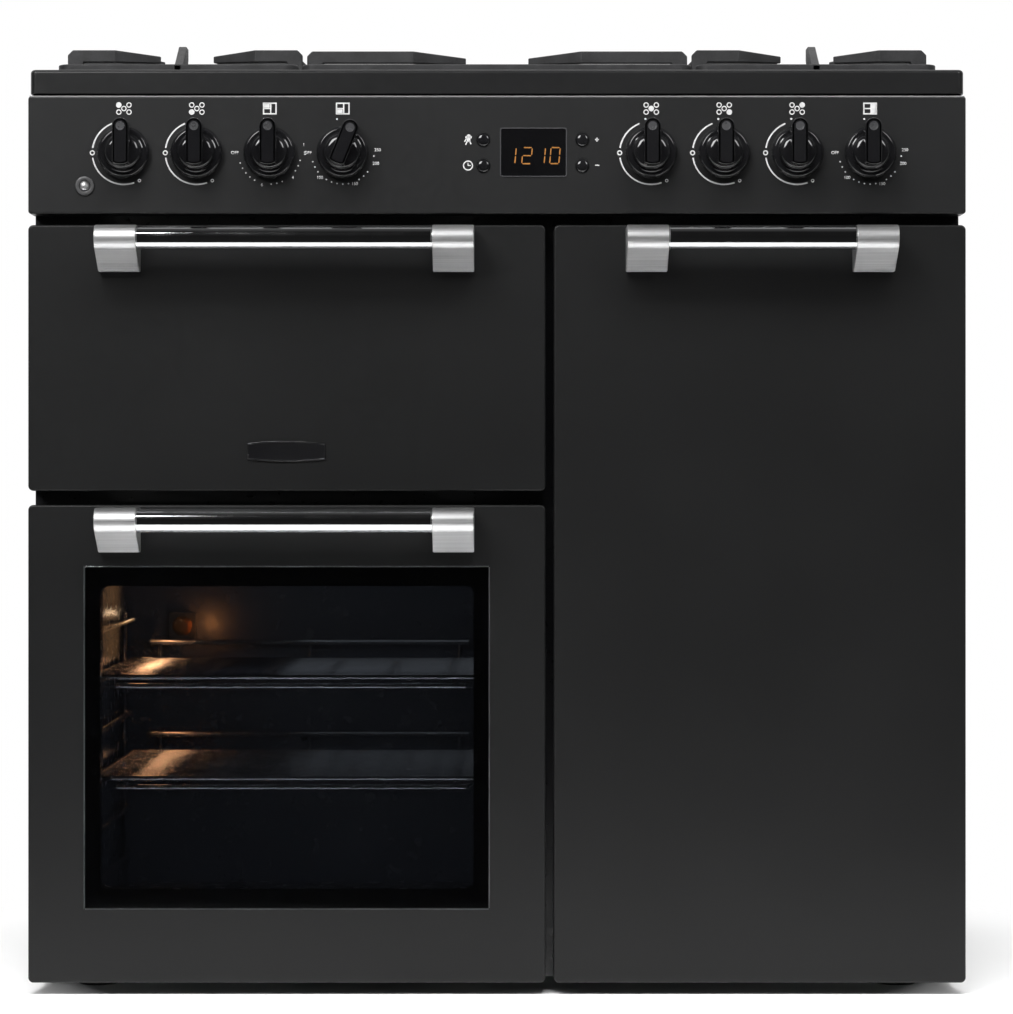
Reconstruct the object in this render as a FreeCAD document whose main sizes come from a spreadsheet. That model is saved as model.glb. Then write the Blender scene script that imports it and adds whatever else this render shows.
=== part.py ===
"""Range cooker: a gas hob over a grill compartment, a main oven and a tall oven.

All sizes are millimetres.  X runs to the right, Y to the back and Z up.  The origin
lies on the floor, under the middle of the cooker with its handles included.
"""

import FreeCAD
import Part
import Sketcher
import os
from FreeCAD import Placement, Rotation, Vector

doc = FreeCAD.newDocument("RangeCooker")
sheet = doc.addObject("Spreadsheet::Sheet", "size")

SIZES = {
    # Overall form
    "overall_width": 900,
    "body_depth": 600,
    "floor_gap": 12,
    "chassis_lift": 2,
    "side_inset": 3,
    "sheet": 1.5,
    "frame_sheet": 2,
    "fold_width": 20,
    "rear_recess": 20,
    "base_rise": 18,
    "seat_gap": 0.3,
    "cut_over": 1,
    # Doors
    "left_door_width": 496.5,
    "door_side_gap": 8,
    "oven_door_height": 458.6,
    "door_stack_gap": 13.5,
    "grill_door_height": 255.2,
    "door_thickness": 30,
    "door_skin": 2,
    "door_corner": 5,
    "door_edge": 2,
    "chassis_gap": 4,
    # Window of the main oven door
    "glass_width": 389.5,
    "glass_tall": 329.5,
    "glass_drop": 58.6,
    "glass_thick": 4,
    "glass_fit": 0.3,
    "window_width": 358.5,
    "window_tall": 291,
    "window_corner": 8,
    # Handles
    "bar_stand_off": 38,
    "bracket_nose": 12.5,
    "bracket_drop": 2.5,
    "bracket_tall": 42.75,
    "bracket_width": 39.75,
    "bracket_lean": 60,
    "bar_radius": 11.5,
    "bar_wall": 2,
    "bar_socket": 8,
    "bar_fit": 0.05,
    "left_handle_span": 360,
    "tall_handle_span": 257.5,
    # Hinges
    "pivot_depth": 17,
    "pivot_rise": 8,
    "pivot_inset": 22,
    "side_hinge_inset": 42,
    "pin_radius": 3,
    "pin_reach": 13,
    "pin_fit": 0.05,
    "arm_thick": 5,
    "arm_nose": 5,
    "arc_slack": 0.001,
    "arm_plate_width": 16,
    "arm_plate_thick": 2,
    "arm_plate_tall": 25,
    "slot_gap": 1,
    # Control panel
    "panel_gap": 10.7,
    "panel_height": 113,
    "panel_sheet": 2,
    "panel_corner": 3,
    "hob_gap": 2.4,
    # Knobs and their shafts
    "knob_rise": 58.5,
    "knob_pitch": 70,
    "knob_first": 148,
    "knob_gap": 4,
    "knob_skirt": 25,
    "knob_skirt_tall": 6,
    "knob_skirt_edge": 3,
    "knob_skirt_slope": 2,
    "knob_groove": 0.5,
    "knob_dome": 17.5,
    "knob_dome_tall": 14,
    "knob_dome_foot": 1,
    "knob_dome_edge": 4,
    "knob_dome_slope": 5,
    "knob_tall": 32,
    "grip_width": 16,
    "grip_tail": 14.5,
    "grip_beak": 30.5,
    "grip_round": 2.5,
    "grip_root": 3.6,
    "dot_radius": 4.25,
    "dot_deep": 0.5,
    "shaft_radius": 4,
    "shaft_flat": 2.8,
    "shaft_fit": 0.05,
    "shaft_insert": 18,
    "push_travel": 3,
    "rest_turn": 22,
    "fascia_hole": 5,
    # Gas rail and switches
    "tap_neck": 8,
    "tap_neck_long": 8,
    "tap_radius": 14,
    "tap_long": 46,
    "tap_outlet": 5.6,
    "tap_outlet_rise": 22,
    "rail_radius": 8,
    "rail_bend": 30,
    "inlet_place": 405,
    "inlet_radius": 10.48,
    "inlet_long": 15,
    "inlet_collar": 14,
    "inlet_short": 1,
    "switch_wide": 44,
    "switch_deep": 40,
    "gland_deep": 30,
    # Timer
    "timer_place": 35,
    "timer_rise": 59,
    "timer_wide": 63,
    "timer_tall": 46,
    "timer_fit": 0.2,
    "timer_box_wall": 6,
    "timer_board_wide": 120,
    "timer_board_deep": 16,
    "timer_key_left": -13,
    "timer_key_right": 82,
    "timer_key_high": 71,
    "timer_key_low": 46,
    "key_radius": 6.5,
    "key_flange": 8,
    "key_proud": 2.8,
    "key_stem": 2,
    "key_stem_long": 6,
    "key_flange_thick": 1,
    "key_round": 1,
    "key_travel": 2,
    "key_fit": 0.3,
    # Ignition button
    "spark_place": -395.5,
    "spark_rise": 26.7,
    "spark_ring": 9.5,
    "spark_ring_proud": 1.5,
    "spark_ring_round": 0.7,
    "spark_key": 4.75,
    "spark_round": 1.5,
    "spark_flange": 1.5,
    "spark_room": 2,
    "spark_proud": 4.6,
    "spark_travel": 4,
    "spark_switch": 12,
    "spark_switch_deep": 22,
    # Hob top
    "hob_lip_height": 23.1,
    "hob_side_inset": 2,
    "hob_corner": 6,
    "hob_edge": 3.5,
    "lip_width": 13,
    "basin_deep": 9,
    "basin_corner": 12,
    "hob_sheet": 1.5,
    # Burners
    "burner_place": 311,
    "burner_front": 185,
    "burner_rear": 415,
    "crown_small": 22,
    "crown_medium": 32,
    "crown_large": 42,
    "crown_wok": 60,
    "cup_inset": 8,
    "cup_deep": 18,
    "hole_gap": 2,
    "crown_flange": 4,
    "crown_step": 3,
    "crown_slope": 2,
    "crown_tall": 17,
    "cap_tall": 7,
    "cap_over": 1,
    "cap_edge_tall": 2.8,
    "cap_slope": 4,
    "cap_slope_tall": 6.3,
    "port_count": 16,
    "port_width": 2,
    "port_tall": 6,
    "port_drop": 2,
    # Pan supports
    "support_rise": 35,
    "support_front": 50,
    "side_support_in": 194,
    "side_support_out": 428,
    "centre_support_half": 190,
    "grate_bar": 10,
    "grate_corner": 14,
    "grate_hole_corner": 9,
    "grate_foot": 4,
    "grate_foot_inset": 8,
    "finger_width": 8,
    "finger_deep": 12,
    "finger_offset": 45,
    "finger_break": 71,
    "finger_tip": 28,
    "wok_finger_offset": 150,
    "wok_finger_break": 85,
    "wok_finger_tip": 33,
    "tip_fall": 3.5,
    "tip_angle": 30,
    "spur_reach": 80,
    "spur_foot": 56,
    "spur_slope": 60,
    "riser_long": 16,
    # Compartments
    "cavity_depth": 430,
    "cavity_flange": 12,
    "main_cavity_width": 400,
    "main_cavity_rise": 48,
    "main_cavity_tall": 385,
    "grill_cavity_rise": 30,
    "grill_cavity_tall": 208,
    "tall_cavity_width": 312,
    "tall_cavity_rise": 48,
    "tall_cavity_tall": 662,
    "seal_inset": 3,
    "seal_width": 8,
    "seal_corner": 12,
    "seal_hole_corner": 4,
    # Racks, shelves and grill pan
    "rack_wire": 2.5,
    "rack_stub": 2,
    "rack_upright_inset": 30,
    "rack_upright_over": 7.5,
    "rack_stand": 9,
    "rack_pitch": 49.5,
    "rack_low": 38.2,
    "rail_wire": 3,
    "post_wire": 2.4,
    "post_inset": 30,
    "second_rail_inset": 20,
    "fine_wire": 1.5,
    "wire_pitch": 26,
    "shelf_front": 36,
    "shelf_depth": 360,
    "tall_shelf_depth": 330,
    "shelf_drop": 9,
    "shelf_upstand": 19,
    "pan_deep": 34,
    "pan_wall": 1.5,
    "pan_rim": 12,
    # Heating, fan and lamps
    "element_radius": 3.25,
    "element_drop": 20,
    "element_margin": 45,
    "element_turns": 3,
    "ring_radius": 95,
    "ring_lead": 15,
    "baffle_stand": 46,
    "baffle_wide": 250,
    "baffle_mouth": 60,
    "fan_rise": 330,
    "fan_radius": 72,
    "fan_deep": 26,
    "fan_blades": 8,
    "fan_shaft": 4,
    "fan_hub": 12,
    "fan_blade_start": 39.6,
    "motor_radius": 35,
    "motor_long": 55,
    "lamp_side": 60.5,
    "lamp_rise": 278,
    "lamp_wide": 28,
    "lamp_deep": 12,
    "lens_radius": 11,
    "lens_front": 7.7,
    "lens_deep": 6,
    # Feet and mains connection
    "foot_radius": 20,
    "foot_pad_tall": 9,
    "foot_edge_tall": 3,
    "foot_top": 11,
    "foot_nut": 8.5,
    "foot_inset": 55,
    "stud_radius": 5,
    "stud_short": 4,
    "stud_play": 0.2,
    "boss_radius": 11,
    "boss_tall": 22,
    "terminal_place": -330,
    "terminal_rise": 120,
    "terminal_wide": 90,
    "terminal_tall": 70,
    "gland_radius": 7,
    "louvre_count": 9,
    "louvre_long": 160,
    "louvre_tall": 4,
    "louvre_pitch": 14,
}

for row, (alias, number) in enumerate(SIZES.items(), start=1):
    sheet.set(f"A{row}", alias.replace("_", " "))
    sheet.set(f"B{row}", str(number))
    sheet.setAlias(f"B{row}", alias)
doc.recompute()


# Planes and axes that several pieces share, as formulas of the sheet.
HALF = "(size.overall_width / 2)"
FACE = "((size.bar_stand_off + size.bracket_nose - size.body_depth) / 2)"
BACK = f"({FACE} + size.body_depth)"
DOOR_REAR = f"({FACE} + size.door_thickness)"
CHASSIS = f"({DOOR_REAR} + size.chassis_gap)"
FRAME_REAR = f"({CHASSIS} + size.frame_sheet)"
SIDE = f"({HALF} - size.side_inset)"
SIDE_INNER = f"({SIDE} - size.sheet)"
BACK_SHEET = f"({BACK} - size.rear_recess)"
PIVOT = f"({FACE} + size.pivot_depth)"

OVEN_TOP = "(size.floor_gap + size.oven_door_height)"
GRILL_BOTTOM = f"({OVEN_TOP} + size.door_stack_gap)"
DOORS_TOP = f"({GRILL_BOTTOM} + size.grill_door_height)"
PANEL_BOTTOM = f"({DOORS_TOP} + size.panel_gap)"
PANEL_TOP = f"({PANEL_BOTTOM} + size.panel_height)"
HOB_BOTTOM = f"({PANEL_TOP} + size.hob_gap)"
HOB_TOP = f"({HOB_BOTTOM} + size.hob_lip_height)"
BASIN = f"({HOB_TOP} - size.basin_deep)"
SUPPORT_TOP = f"({HOB_TOP} + size.support_rise)"
CHASSIS_BOTTOM = "(size.floor_gap + size.chassis_lift)"
BASE = "(size.floor_gap + size.base_rise)"
KNOB_Z = f"({PANEL_BOTTOM} + size.knob_rise)"

LEFT_DOOR_END = f"(size.left_door_width - {HALF})"
LEFT_DOOR_MIDDLE = f"(size.left_door_width / 2 - {HALF})"
TALL_DOOR_START = f"({LEFT_DOOR_END} + size.door_side_gap)"
TALL_DOOR_MIDDLE = f"(({TALL_DOOR_START} + {HALF}) / 2)"


# ----------------------------------------------------------------------------------
# Building helpers
# ----------------------------------------------------------------------------------

AXIS_TURNS = {
    "X": Rotation(Vector(0, 1, 0), 90),
    "Y": Rotation(Vector(1, 0, 0), -90),
    "Z": Rotation(),
}


def value(formula):
    """Returns the number that a formula of the sheet gives."""
    result = sheet.evalExpression(formula)
    return float(getattr(result, "Value", result))


def neg(formula):
    """Returns the formula with its sign turned."""
    return f"(0 - {formula})"


def bind(item, **formulas):
    """Ties properties to formulas; two underscores stand for the dot of a path."""
    for path, formula in formulas.items():
        item.setExpression(path.replace("__", "."), formula)
    return item


def place(item, x="0", y="0", z="0"):
    """Binds the place of an object to three formulas."""
    return bind(item, Placement__Base__x=x, Placement__Base__y=y, Placement__Base__z=z)


def block(name, left, right, front, rear, bottom, top):
    """A box between six planes."""
    item = doc.addObject("Part::Box", name)
    place(item, left, front, bottom)
    return bind(item, Length=f"({right}) - ({left})", Width=f"({rear}) - ({front})",
                Height=f"({top}) - ({bottom})")


def rod(name, axis, radius, x, y, z, length):
    """A cylinder that starts at (x, y, z) and runs along an axis."""
    item = doc.addObject("Part::Cylinder", name)
    item.Placement = Placement(Vector(), AXIS_TURNS[axis])
    place(item, x, y, z)
    return bind(item, Radius=radius, Height=length)


def fuse(name, items):
    """One solid of several that overlap or share faces."""
    item = doc.addObject("Part::MultiFuse", name)
    item.Shapes = items
    item.Refine = True
    return item


def cut(name, base, tools):
    """The base with the tools taken out."""
    tool = tools[0] if len(tools) == 1 else fuse(name + "_tools", tools)
    item = doc.addObject("Part::Cut", name)
    item.Base = base
    item.Tool = tool
    item.Refine = True
    return item


def group(name, items):
    """Separate solids that share one node."""
    item = doc.addObject("Part::Compound", name)
    item.Links = items
    return item


def mirror(name, source, normal, x="0", y="0", z="0"):
    """The mirror image of an object in a plane through (x, y, z)."""
    item = doc.addObject("Part::Mirroring", name)
    item.Source = source
    item.Normal = normal
    return bind(item, Base__x=x, Base__y=y, Base__z=z)


def new_body(name):
    """An empty body."""
    return doc.addObject("PartDesign::Body", name)


def new_sketch(body, plane, offset="0"):
    """A sketch on an origin plane of the body, moved along the plane's normal."""
    sketch = body.newObject("Sketcher::SketchObject", body.Name + "_sketch")
    origin = next(item for item in body.Origin.OriginFeatures if item.Role == plane)
    sketch.AttachmentSupport = (origin, [""])
    sketch.MapMode = "FlatFace"
    return bind(sketch, AttachmentOffset__Base__z=offset)


def arc_between(start, end, radius, side):
    """The shorter arc from start to end; side 1 bulges to the left of the way."""
    chord = end - start
    middle = (start + end) * 0.5
    left = Vector(-chord.y, chord.x, 0).normalize()
    rise = max(radius * radius - chord.Length * chord.Length / 4, 0) ** 0.5
    crown = middle + left * (side * (radius - rise))
    return Part.Arc(start, crown, end)


def limit(sketch, kind, *targets):
    """Adds a constraint; a formula as the last target binds its value."""
    if isinstance(targets[-1], str):
        formula = targets[-1]
        index = sketch.addConstraint(
            Sketcher.Constraint(kind, *targets[:-1], value(formula)))
        sketch.setExpression(f"Constraints[{index}]", formula)
    else:
        sketch.addConstraint(Sketcher.Constraint(kind, *targets))


def outline(sketch, corners):
    """Draws a closed outline through corners that sit at formulas.

    A corner is (x, y).  With (x, y, radius, side) the edge that leaves it is an arc,
    which bulges to the left (1) or to the right (-1) of the way to the next corner.
    """
    points = [Vector(value(corner[0]), value(corner[1]), 0) for corner in corners]
    first = sketch.GeometryCount
    ends = []
    for index, corner in enumerate(corners):
        start = points[index]
        end = points[(index + 1) % len(points)]
        if len(corner) == 2:
            sketch.addGeometry(Part.LineSegment(start, end))
            ends.append((1, 2))
        else:
            arc = arc_between(start, end, value(corner[2]), corner[3])
            sketch.addGeometry(arc)
            swapped = (sketch.getPoint(first + index, 1) - start).Length > 1e-4
            ends.append((2, 1) if swapped else (1, 2))
    for index, corner in enumerate(corners):
        here = first + index
        following = (index + 1) % len(corners)
        limit(sketch, "Coincident", here, ends[index][1],
              first + following, ends[following][0])
        limit(sketch, "DistanceX", -1, 1, here, ends[index][0], corner[0])
        limit(sketch, "DistanceY", -1, 1, here, ends[index][0], corner[1])
        if len(corner) > 2:
            limit(sketch, "Radius", here, corner[2])


def circle(sketch, x, y, radius):
    """Draws a circle at formulas."""
    centre = Vector(value(x), value(y), 0)
    index = sketch.addGeometry(Part.Circle(centre, Vector(0, 0, 1), value(radius)))
    limit(sketch, "DistanceX", -1, 1, index, 3, x)
    limit(sketch, "DistanceY", -1, 1, index, 3, y)
    limit(sketch, "Radius", index, radius)


def rounded(left, right, low, high, radius):
    """The corners of a rounded rectangle, as formulas for an outline."""
    radius = f"({radius})"
    return [
        (f"{left} + {radius}", low),
        (f"{right} - {radius}", low, radius, -1),
        (right, f"{low} + {radius}"),
        (right, f"{high} - {radius}", radius, -1),
        (f"{right} - {radius}", high),
        (f"{left} + {radius}", high, radius, -1),
        (left, f"{high} - {radius}"),
        (left, f"{low} + {radius}", radius, -1),
    ]


def rectangle(left, right, low, high):
    """The corners of a rectangle, as formulas for an outline."""
    return [(left, low), (right, low), (right, high), (left, high)]


def feature(body, kind, sketch, **formulas):
    """Adds a feature of the sketch to the body."""
    item = body.newObject(f"PartDesign::{kind}", f"{body.Name}_{kind.lower()}")
    item.Profile = sketch
    return bind(item, **formulas)


def pad(body, sketch, length, backward=False):
    """Thickens a sketch along its normal, or against it."""
    item = feature(body, "Pad", sketch, Length=length)
    item.Reversed = backward
    return item


def pocket(body, sketch, length, along=False):
    """Cuts a sketch out against its normal, or along it."""
    item = feature(body, "Pocket", sketch, Length=length)
    item.Reversed = along
    return item


def revolve(body, sketch, axis):
    """Turns a sketch once round one of its own axes, H_Axis or V_Axis."""
    item = feature(body, "Revolution", sketch)
    item.ReferenceAxis = (sketch, [axis])
    item.Angle = 360
    return item


def round_edges(body, base, radius, wanted):
    """Fillets the edges of the base feature that the test picks."""
    doc.recompute()
    names = [f"Edge{index}" for index, edge in enumerate(base.Shape.Edges, start=1)
             if wanted(edge)]
    item = body.newObject("PartDesign::Fillet", body.Name + "_fillet")
    item.Base = (base, names)
    return bind(item, Radius=radius)


def lies_in(edge, axis, level):
    """Tells whether the whole edge lies in the plane where an axis has a level."""
    low = getattr(edge.BoundBox, axis.upper() + "Min")
    high = getattr(edge.BoundBox, axis.upper() + "Max")
    return abs(low - level) < 1e-3 and abs(high - level) < 1e-3


def prism(name, plane, corners, offset, length, backward=False):
    """A body of one padded outline."""
    body = new_body(name)
    sketch = new_sketch(body, plane, offset)
    outline(sketch, corners)
    pad(body, sketch, length, backward)
    return body


def ring(name, plane, outer, inner, offset, length, backward=False):
    """A body of one padded outline with another one left open."""
    body = new_body(name)
    sketch = new_sketch(body, plane, offset)
    outline(sketch, outer)
    outline(sketch, inner)
    pad(body, sketch, length, backward)
    return body


nodes = []


def node(item, label=None):
    """Marks an object as a finished sub-part."""
    item.Label = label or item.Name
    nodes.append(item)
    return item


# ----------------------------------------------------------------------------------
# Chassis
# ----------------------------------------------------------------------------------

# Each compartment: middle in X, width, lowest level of its inside and inside height.
GRILL = {
    "middle": LEFT_DOOR_MIDDLE,
    "width": "size.main_cavity_width",
    "floor": f"({GRILL_BOTTOM} + size.grill_cavity_rise)",
    "tall": "size.grill_cavity_tall",
}
MAIN = {
    "middle": LEFT_DOOR_MIDDLE,
    "width": "size.main_cavity_width",
    "floor": "(size.floor_gap + size.main_cavity_rise)",
    "tall": "size.main_cavity_tall",
}
TALL = {
    "middle": TALL_DOOR_MIDDLE,
    "width": "size.tall_cavity_width",
    "floor": "(size.floor_gap + size.tall_cavity_rise)",
    "tall": "size.tall_cavity_tall",
}


def opening(room, grow="0", radius=None):
    """The outline of a compartment's mouth, grown by a margin on each side."""
    left = f"({room['middle']} - {room['width']} / 2 - {grow})"
    right = f"({room['middle']} + {room['width']} / 2 + {grow})"
    low = f"({room['floor']} - {grow})"
    high = f"({room['floor']} + {room['tall']} + {grow})"
    if radius is None:
        return rectangle(left, right, low, high)
    return rounded(left, right, low, high, radius)


def make_side_panels():
    """Two folded side panels with flanges at the front and the back."""
    fold = f"({SIDE} - size.fold_width)"
    corners = [
        (SIDE, FRAME_REAR), (SIDE, BACK), (fold, BACK), (fold, f"{BACK} - size.sheet"),
        (SIDE_INNER, f"{BACK} - size.sheet"), (SIDE_INNER, f"{FRAME_REAR} + size.sheet"),
        (fold, f"{FRAME_REAR} + size.sheet"), (fold, FRAME_REAR),
    ]
    right = prism("right_side_panel", "XY_Plane", corners, CHASSIS_BOTTOM,
                  f"{HOB_BOTTOM} - {CHASSIS_BOTTOM}")
    left = mirror("left_side_panel", right, Vector(1, 0, 0))
    node(group("side_panels", [right, left]))


def make_back_panel():
    """The back sheet with louvres, the gas inlet hole and the mains cable hole."""
    edge = f"({SIDE_INNER} - size.seat_gap)"
    body = new_body("back_panel")
    sketch = new_sketch(body, "XZ_Plane", neg(BACK_SHEET))
    outline(sketch, rectangle(neg(edge), edge, BASE, f"{HOB_BOTTOM} - size.seat_gap"))
    circle(sketch, "size.inlet_place", KNOB_Z, "size.rail_radius + size.seat_gap")
    circle(sketch, "size.terminal_place", TERMINAL_Z, "size.gland_radius")
    pad(body, sketch, "size.sheet")
    louvre = new_sketch(body, "XZ_Plane", neg(BACK_SHEET))
    outline(louvre, rectangle("0 - size.louvre_long / 2", "size.louvre_long / 2",
                              OVEN_TOP, f"{OVEN_TOP} + size.louvre_tall"))
    first = pocket(body, louvre, "size.sheet", along=True)
    pattern = body.newObject("PartDesign::LinearPattern", "back_louvres")
    pattern.Originals = [first]
    pattern.Direction = (louvre, ["V_Axis"])
    bind(pattern, Length="size.louvre_pitch * (size.louvre_count - 1)",
         Occurrences="size.louvre_count")
    body.Tip = pattern
    node(body)


def make_base_pan():
    """The base tray with a threaded boss over each foot."""
    edge = f"({SIDE_INNER} - size.seat_gap)"
    tray = block("base_tray", neg(edge), edge, f"{FRAME_REAR} + size.seat_gap + size.sheet",
                 f"{BACK_SHEET} - size.sheet - size.seat_gap", BASE, f"{BASE} + size.sheet")
    lip = block("base_lip", neg(edge), edge, f"{BACK_SHEET} - size.sheet * 2 - size.seat_gap",
                f"{BACK_SHEET} - size.sheet - size.seat_gap", BASE, f"{BASE} + size.fold_width")
    bosses = [rod(f"foot_boss_{index}", "Z", "size.boss_radius", x, y, BASE, "size.boss_tall")
              for index, (x, y) in enumerate(FEET)]
    bores = [rod(f"foot_bore_{index}", "Z", "size.stud_radius + size.stud_play", x, y,
                 f"{BASE} - size.cut_over", "size.boss_tall + size.cut_over * 2")
             for index, (x, y) in enumerate(FEET)]
    node(cut("base_pan", fuse("base_solid", [tray, lip] + bosses), bores))


def make_feet():
    """Four levelling feet, screwed fully in: pad, nut and threaded stud in one."""
    feet = []
    for index, (x, y) in enumerate(FEET):
        body = new_body(f"levelling_foot_{index}")
        sketch = new_sketch(body, "XZ_Plane")
        outline(sketch, [
            ("0", "0"), ("size.foot_radius", "0"),
            ("size.foot_radius", "size.foot_edge_tall"),
            ("size.foot_top", "size.foot_pad_tall"),
            ("size.foot_nut", "size.foot_pad_tall"),
            ("size.foot_nut", BASE), ("size.stud_radius", BASE),
            ("size.stud_radius", f"{BASE} + size.boss_tall - size.stud_short"),
            ("0", f"{BASE} + size.boss_tall - size.stud_short"),
        ])
        revolve(body, sketch, "V_Axis")
        feet.append(place(body, x, y))
    node(group("levelling_feet", feet))


def make_front_frame():
    """The front plate of the chassis with its three oven mouths and the control bay."""
    body = new_body("front_frame")
    sketch = new_sketch(body, "XZ_Plane", neg(CHASSIS))
    outline(sketch, rectangle(neg(SIDE), SIDE, CHASSIS_BOTTOM, HOB_BOTTOM))
    for room in (GRILL, MAIN, TALL):
        outline(sketch, opening(room))
    bay = f"({SIDE} - size.fold_width)"
    outline(sketch, rectangle(neg(bay), bay, f"{PANEL_BOTTOM} + size.fold_width / 2",
                              f"{PANEL_TOP} - size.fold_width / 2"))
    pad(body, sketch, "size.frame_sheet", backward=True)
    node(body)


def make_cavity(name, room, bores=()):
    """A compartment liner: a five-walled box with a flange behind the front frame."""
    body = new_body(name + "_box")
    shell = new_sketch(body, "XZ_Plane", neg(FRAME_REAR))
    outline(shell, opening(room, "size.sheet"))
    pad(body, shell, "size.cavity_depth", backward=True)
    flange = new_sketch(body, "XZ_Plane", neg(FRAME_REAR))
    outline(flange, opening(room, "size.cavity_flange"))
    pad(body, flange, "size.sheet", backward=True)
    room_inside = new_sketch(body, "XZ_Plane", neg(FRAME_REAR))
    outline(room_inside, opening(room))
    pocket(body, room_inside, "size.cavity_depth - size.sheet")
    node(cut(name, body, list(bores)) if bores else body, name)


def fan_wall_bore():
    """The hole for the fan's shaft in the tall oven's back wall."""
    return rod("fan_wall_bore", "Y", "size.fan_shaft + size.hole_gap", TALL["middle"],
               f"{CAVITY_BACK} - size.cut_over", FAN_Z, "size.sheet + size.cut_over * 2")


def make_seals():
    """A rope seal round each oven mouth, seated on the front frame."""
    outer = "(size.seal_inset + size.seal_width)"
    seals = [
        ring(f"{name}_seal", "XZ_Plane",
             opening(room, outer, "size.seal_corner"),
             opening(room, "size.seal_inset", "size.seal_hole_corner"),
             neg(CHASSIS), "size.chassis_gap - size.seat_gap")
        for name, room in (("grill", GRILL), ("main", MAIN), ("tall", TALL))
    ]
    node(group("door_seals", seals))


# Feet sit under the four corners of the base.
FEET = [
    (f"{sign} * ({SIDE} - size.foot_inset)", y)
    for sign in ("-1", "1")
    for y in (f"{FRAME_REAR} + size.foot_inset", f"{BACK_SHEET} - size.foot_inset")
]
TERMINAL_Z = f"({BASE} + size.terminal_rise)"


# ----------------------------------------------------------------------------------
# Doors, their hinges and their handles
# ----------------------------------------------------------------------------------

# Each hinge: name, pivot place and whether its pin stands upright.
DROP_HINGES = [
    (f"{door}_{side}", x, f"({bottom} + size.pivot_rise)")
    for door, bottom in (("grill", GRILL_BOTTOM), ("oven", "size.floor_gap"))
    for side, x in (("left", f"(size.pivot_inset - {HALF})"),
                    ("right", f"({LEFT_DOOR_END} - size.pivot_inset)"))
]
TALL_PIVOT_X = f"({HALF} - size.pivot_rise)"
SIDE_HINGES = [
    ("tall_low", "(size.floor_gap + size.side_hinge_inset)"),
    ("tall_high", f"({DOORS_TOP} - size.side_hinge_inset)"),
]
UPRIGHT = Rotation(Vector(0, 1, 0), -90)


def hinge_place(item, x, z, upright):
    """Puts an object that is drawn about a hinge's pivot in its place."""
    if upright:
        item.Placement = Placement(Vector(), UPRIGHT)
    return place(item, x, PIVOT, z)


def hinge_arm(name):
    """An arm with its wall plate and pivot pin, drawn about the pivot."""
    reach = f"({CHASSIS} - {PIVOT})"
    profile = [
        ("0", "0 - size.arm_nose"), (f"{reach} - size.arm_plate_thick", "0 - size.arm_nose"),
        (f"{reach} - size.arm_plate_thick", "size.arm_nose"),
        ("0", "size.arm_nose", "size.arm_nose + size.arc_slack", -1),
    ]
    web = prism(name + "_web", "YZ_Plane", profile, "0 - size.arm_thick / 2", "size.arm_thick")
    plate = block(name + "_plate", "0 - size.arm_plate_width / 2", "size.arm_plate_width / 2",
                  f"{reach} - size.arm_plate_thick", reach,
                  "0 - size.arm_nose", "size.arm_plate_tall - size.arm_nose")
    pin = rod(name + "_pin", "X", "size.pin_radius", "0 - size.pin_reach", "0", "0",
              "size.pin_reach * 2")
    return fuse(name, [web, plate, pin])


def hinge_void(name):
    """What a door leaves open for one arm and its pin, drawn about the pivot."""
    half = "(size.arm_plate_width / 2 + size.slot_gap / 2)"
    slot = block(name + "_slot", neg(half), half, "0 - size.arm_nose - size.slot_gap",
                 f"{CHASSIS} - {PIVOT}", "0 - size.pivot_rise - size.cut_over",
                 "size.arm_nose + size.slot_gap")
    bore = rod(name + "_bore", "X", "size.pin_radius + size.pin_fit",
               "0 - size.pin_reach - size.seat_gap", "0", "0",
               "(size.pin_reach + size.seat_gap) * 2")
    return fuse(name, [slot, bore])


def make_hinge_arms():
    """Six arms that carry the three doors."""
    arms = [hinge_place(hinge_arm(f"{name}_arm"), x, z, False) for name, x, z in DROP_HINGES]
    arms += [hinge_place(hinge_arm(f"{name}_arm"), TALL_PIVOT_X, z, True)
             for name, z in SIDE_HINGES]
    node(group("hinge_arms", arms))


def hinge_block(name):
    """The block of a door's inner panel that holds a pivot pin, drawn about the pivot."""
    half = "(size.pin_reach + size.seat_gap + size.pin_radius)"
    low = "(size.door_skin + size.seat_gap - size.pivot_rise)"
    profile = rectangle(f"({FACE} + size.door_skin - {PIVOT})", f"({DOOR_REAR} - {PIVOT})",
                        low, "(size.arm_nose + size.slot_gap + size.pin_radius)")
    return prism(name, "YZ_Plane", profile, neg(half), f"{half} * 2")


def hinges_of(door):
    """Name, X, Z and upright flag of each hinge of a door."""
    if door == "tall":
        return [(name, TALL_PIVOT_X, z, True) for name, z in SIDE_HINGES]
    return [(name, x, z, False) for name, x, z in DROP_HINGES if name.startswith(door)]


def hinge_voids(door, piece):
    """The voids that one piece of a door leaves for its hinges."""
    return [hinge_place(hinge_void(f"{piece}_{name}"), x, z, upright)
            for name, x, z, upright in hinges_of(door)]


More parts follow.
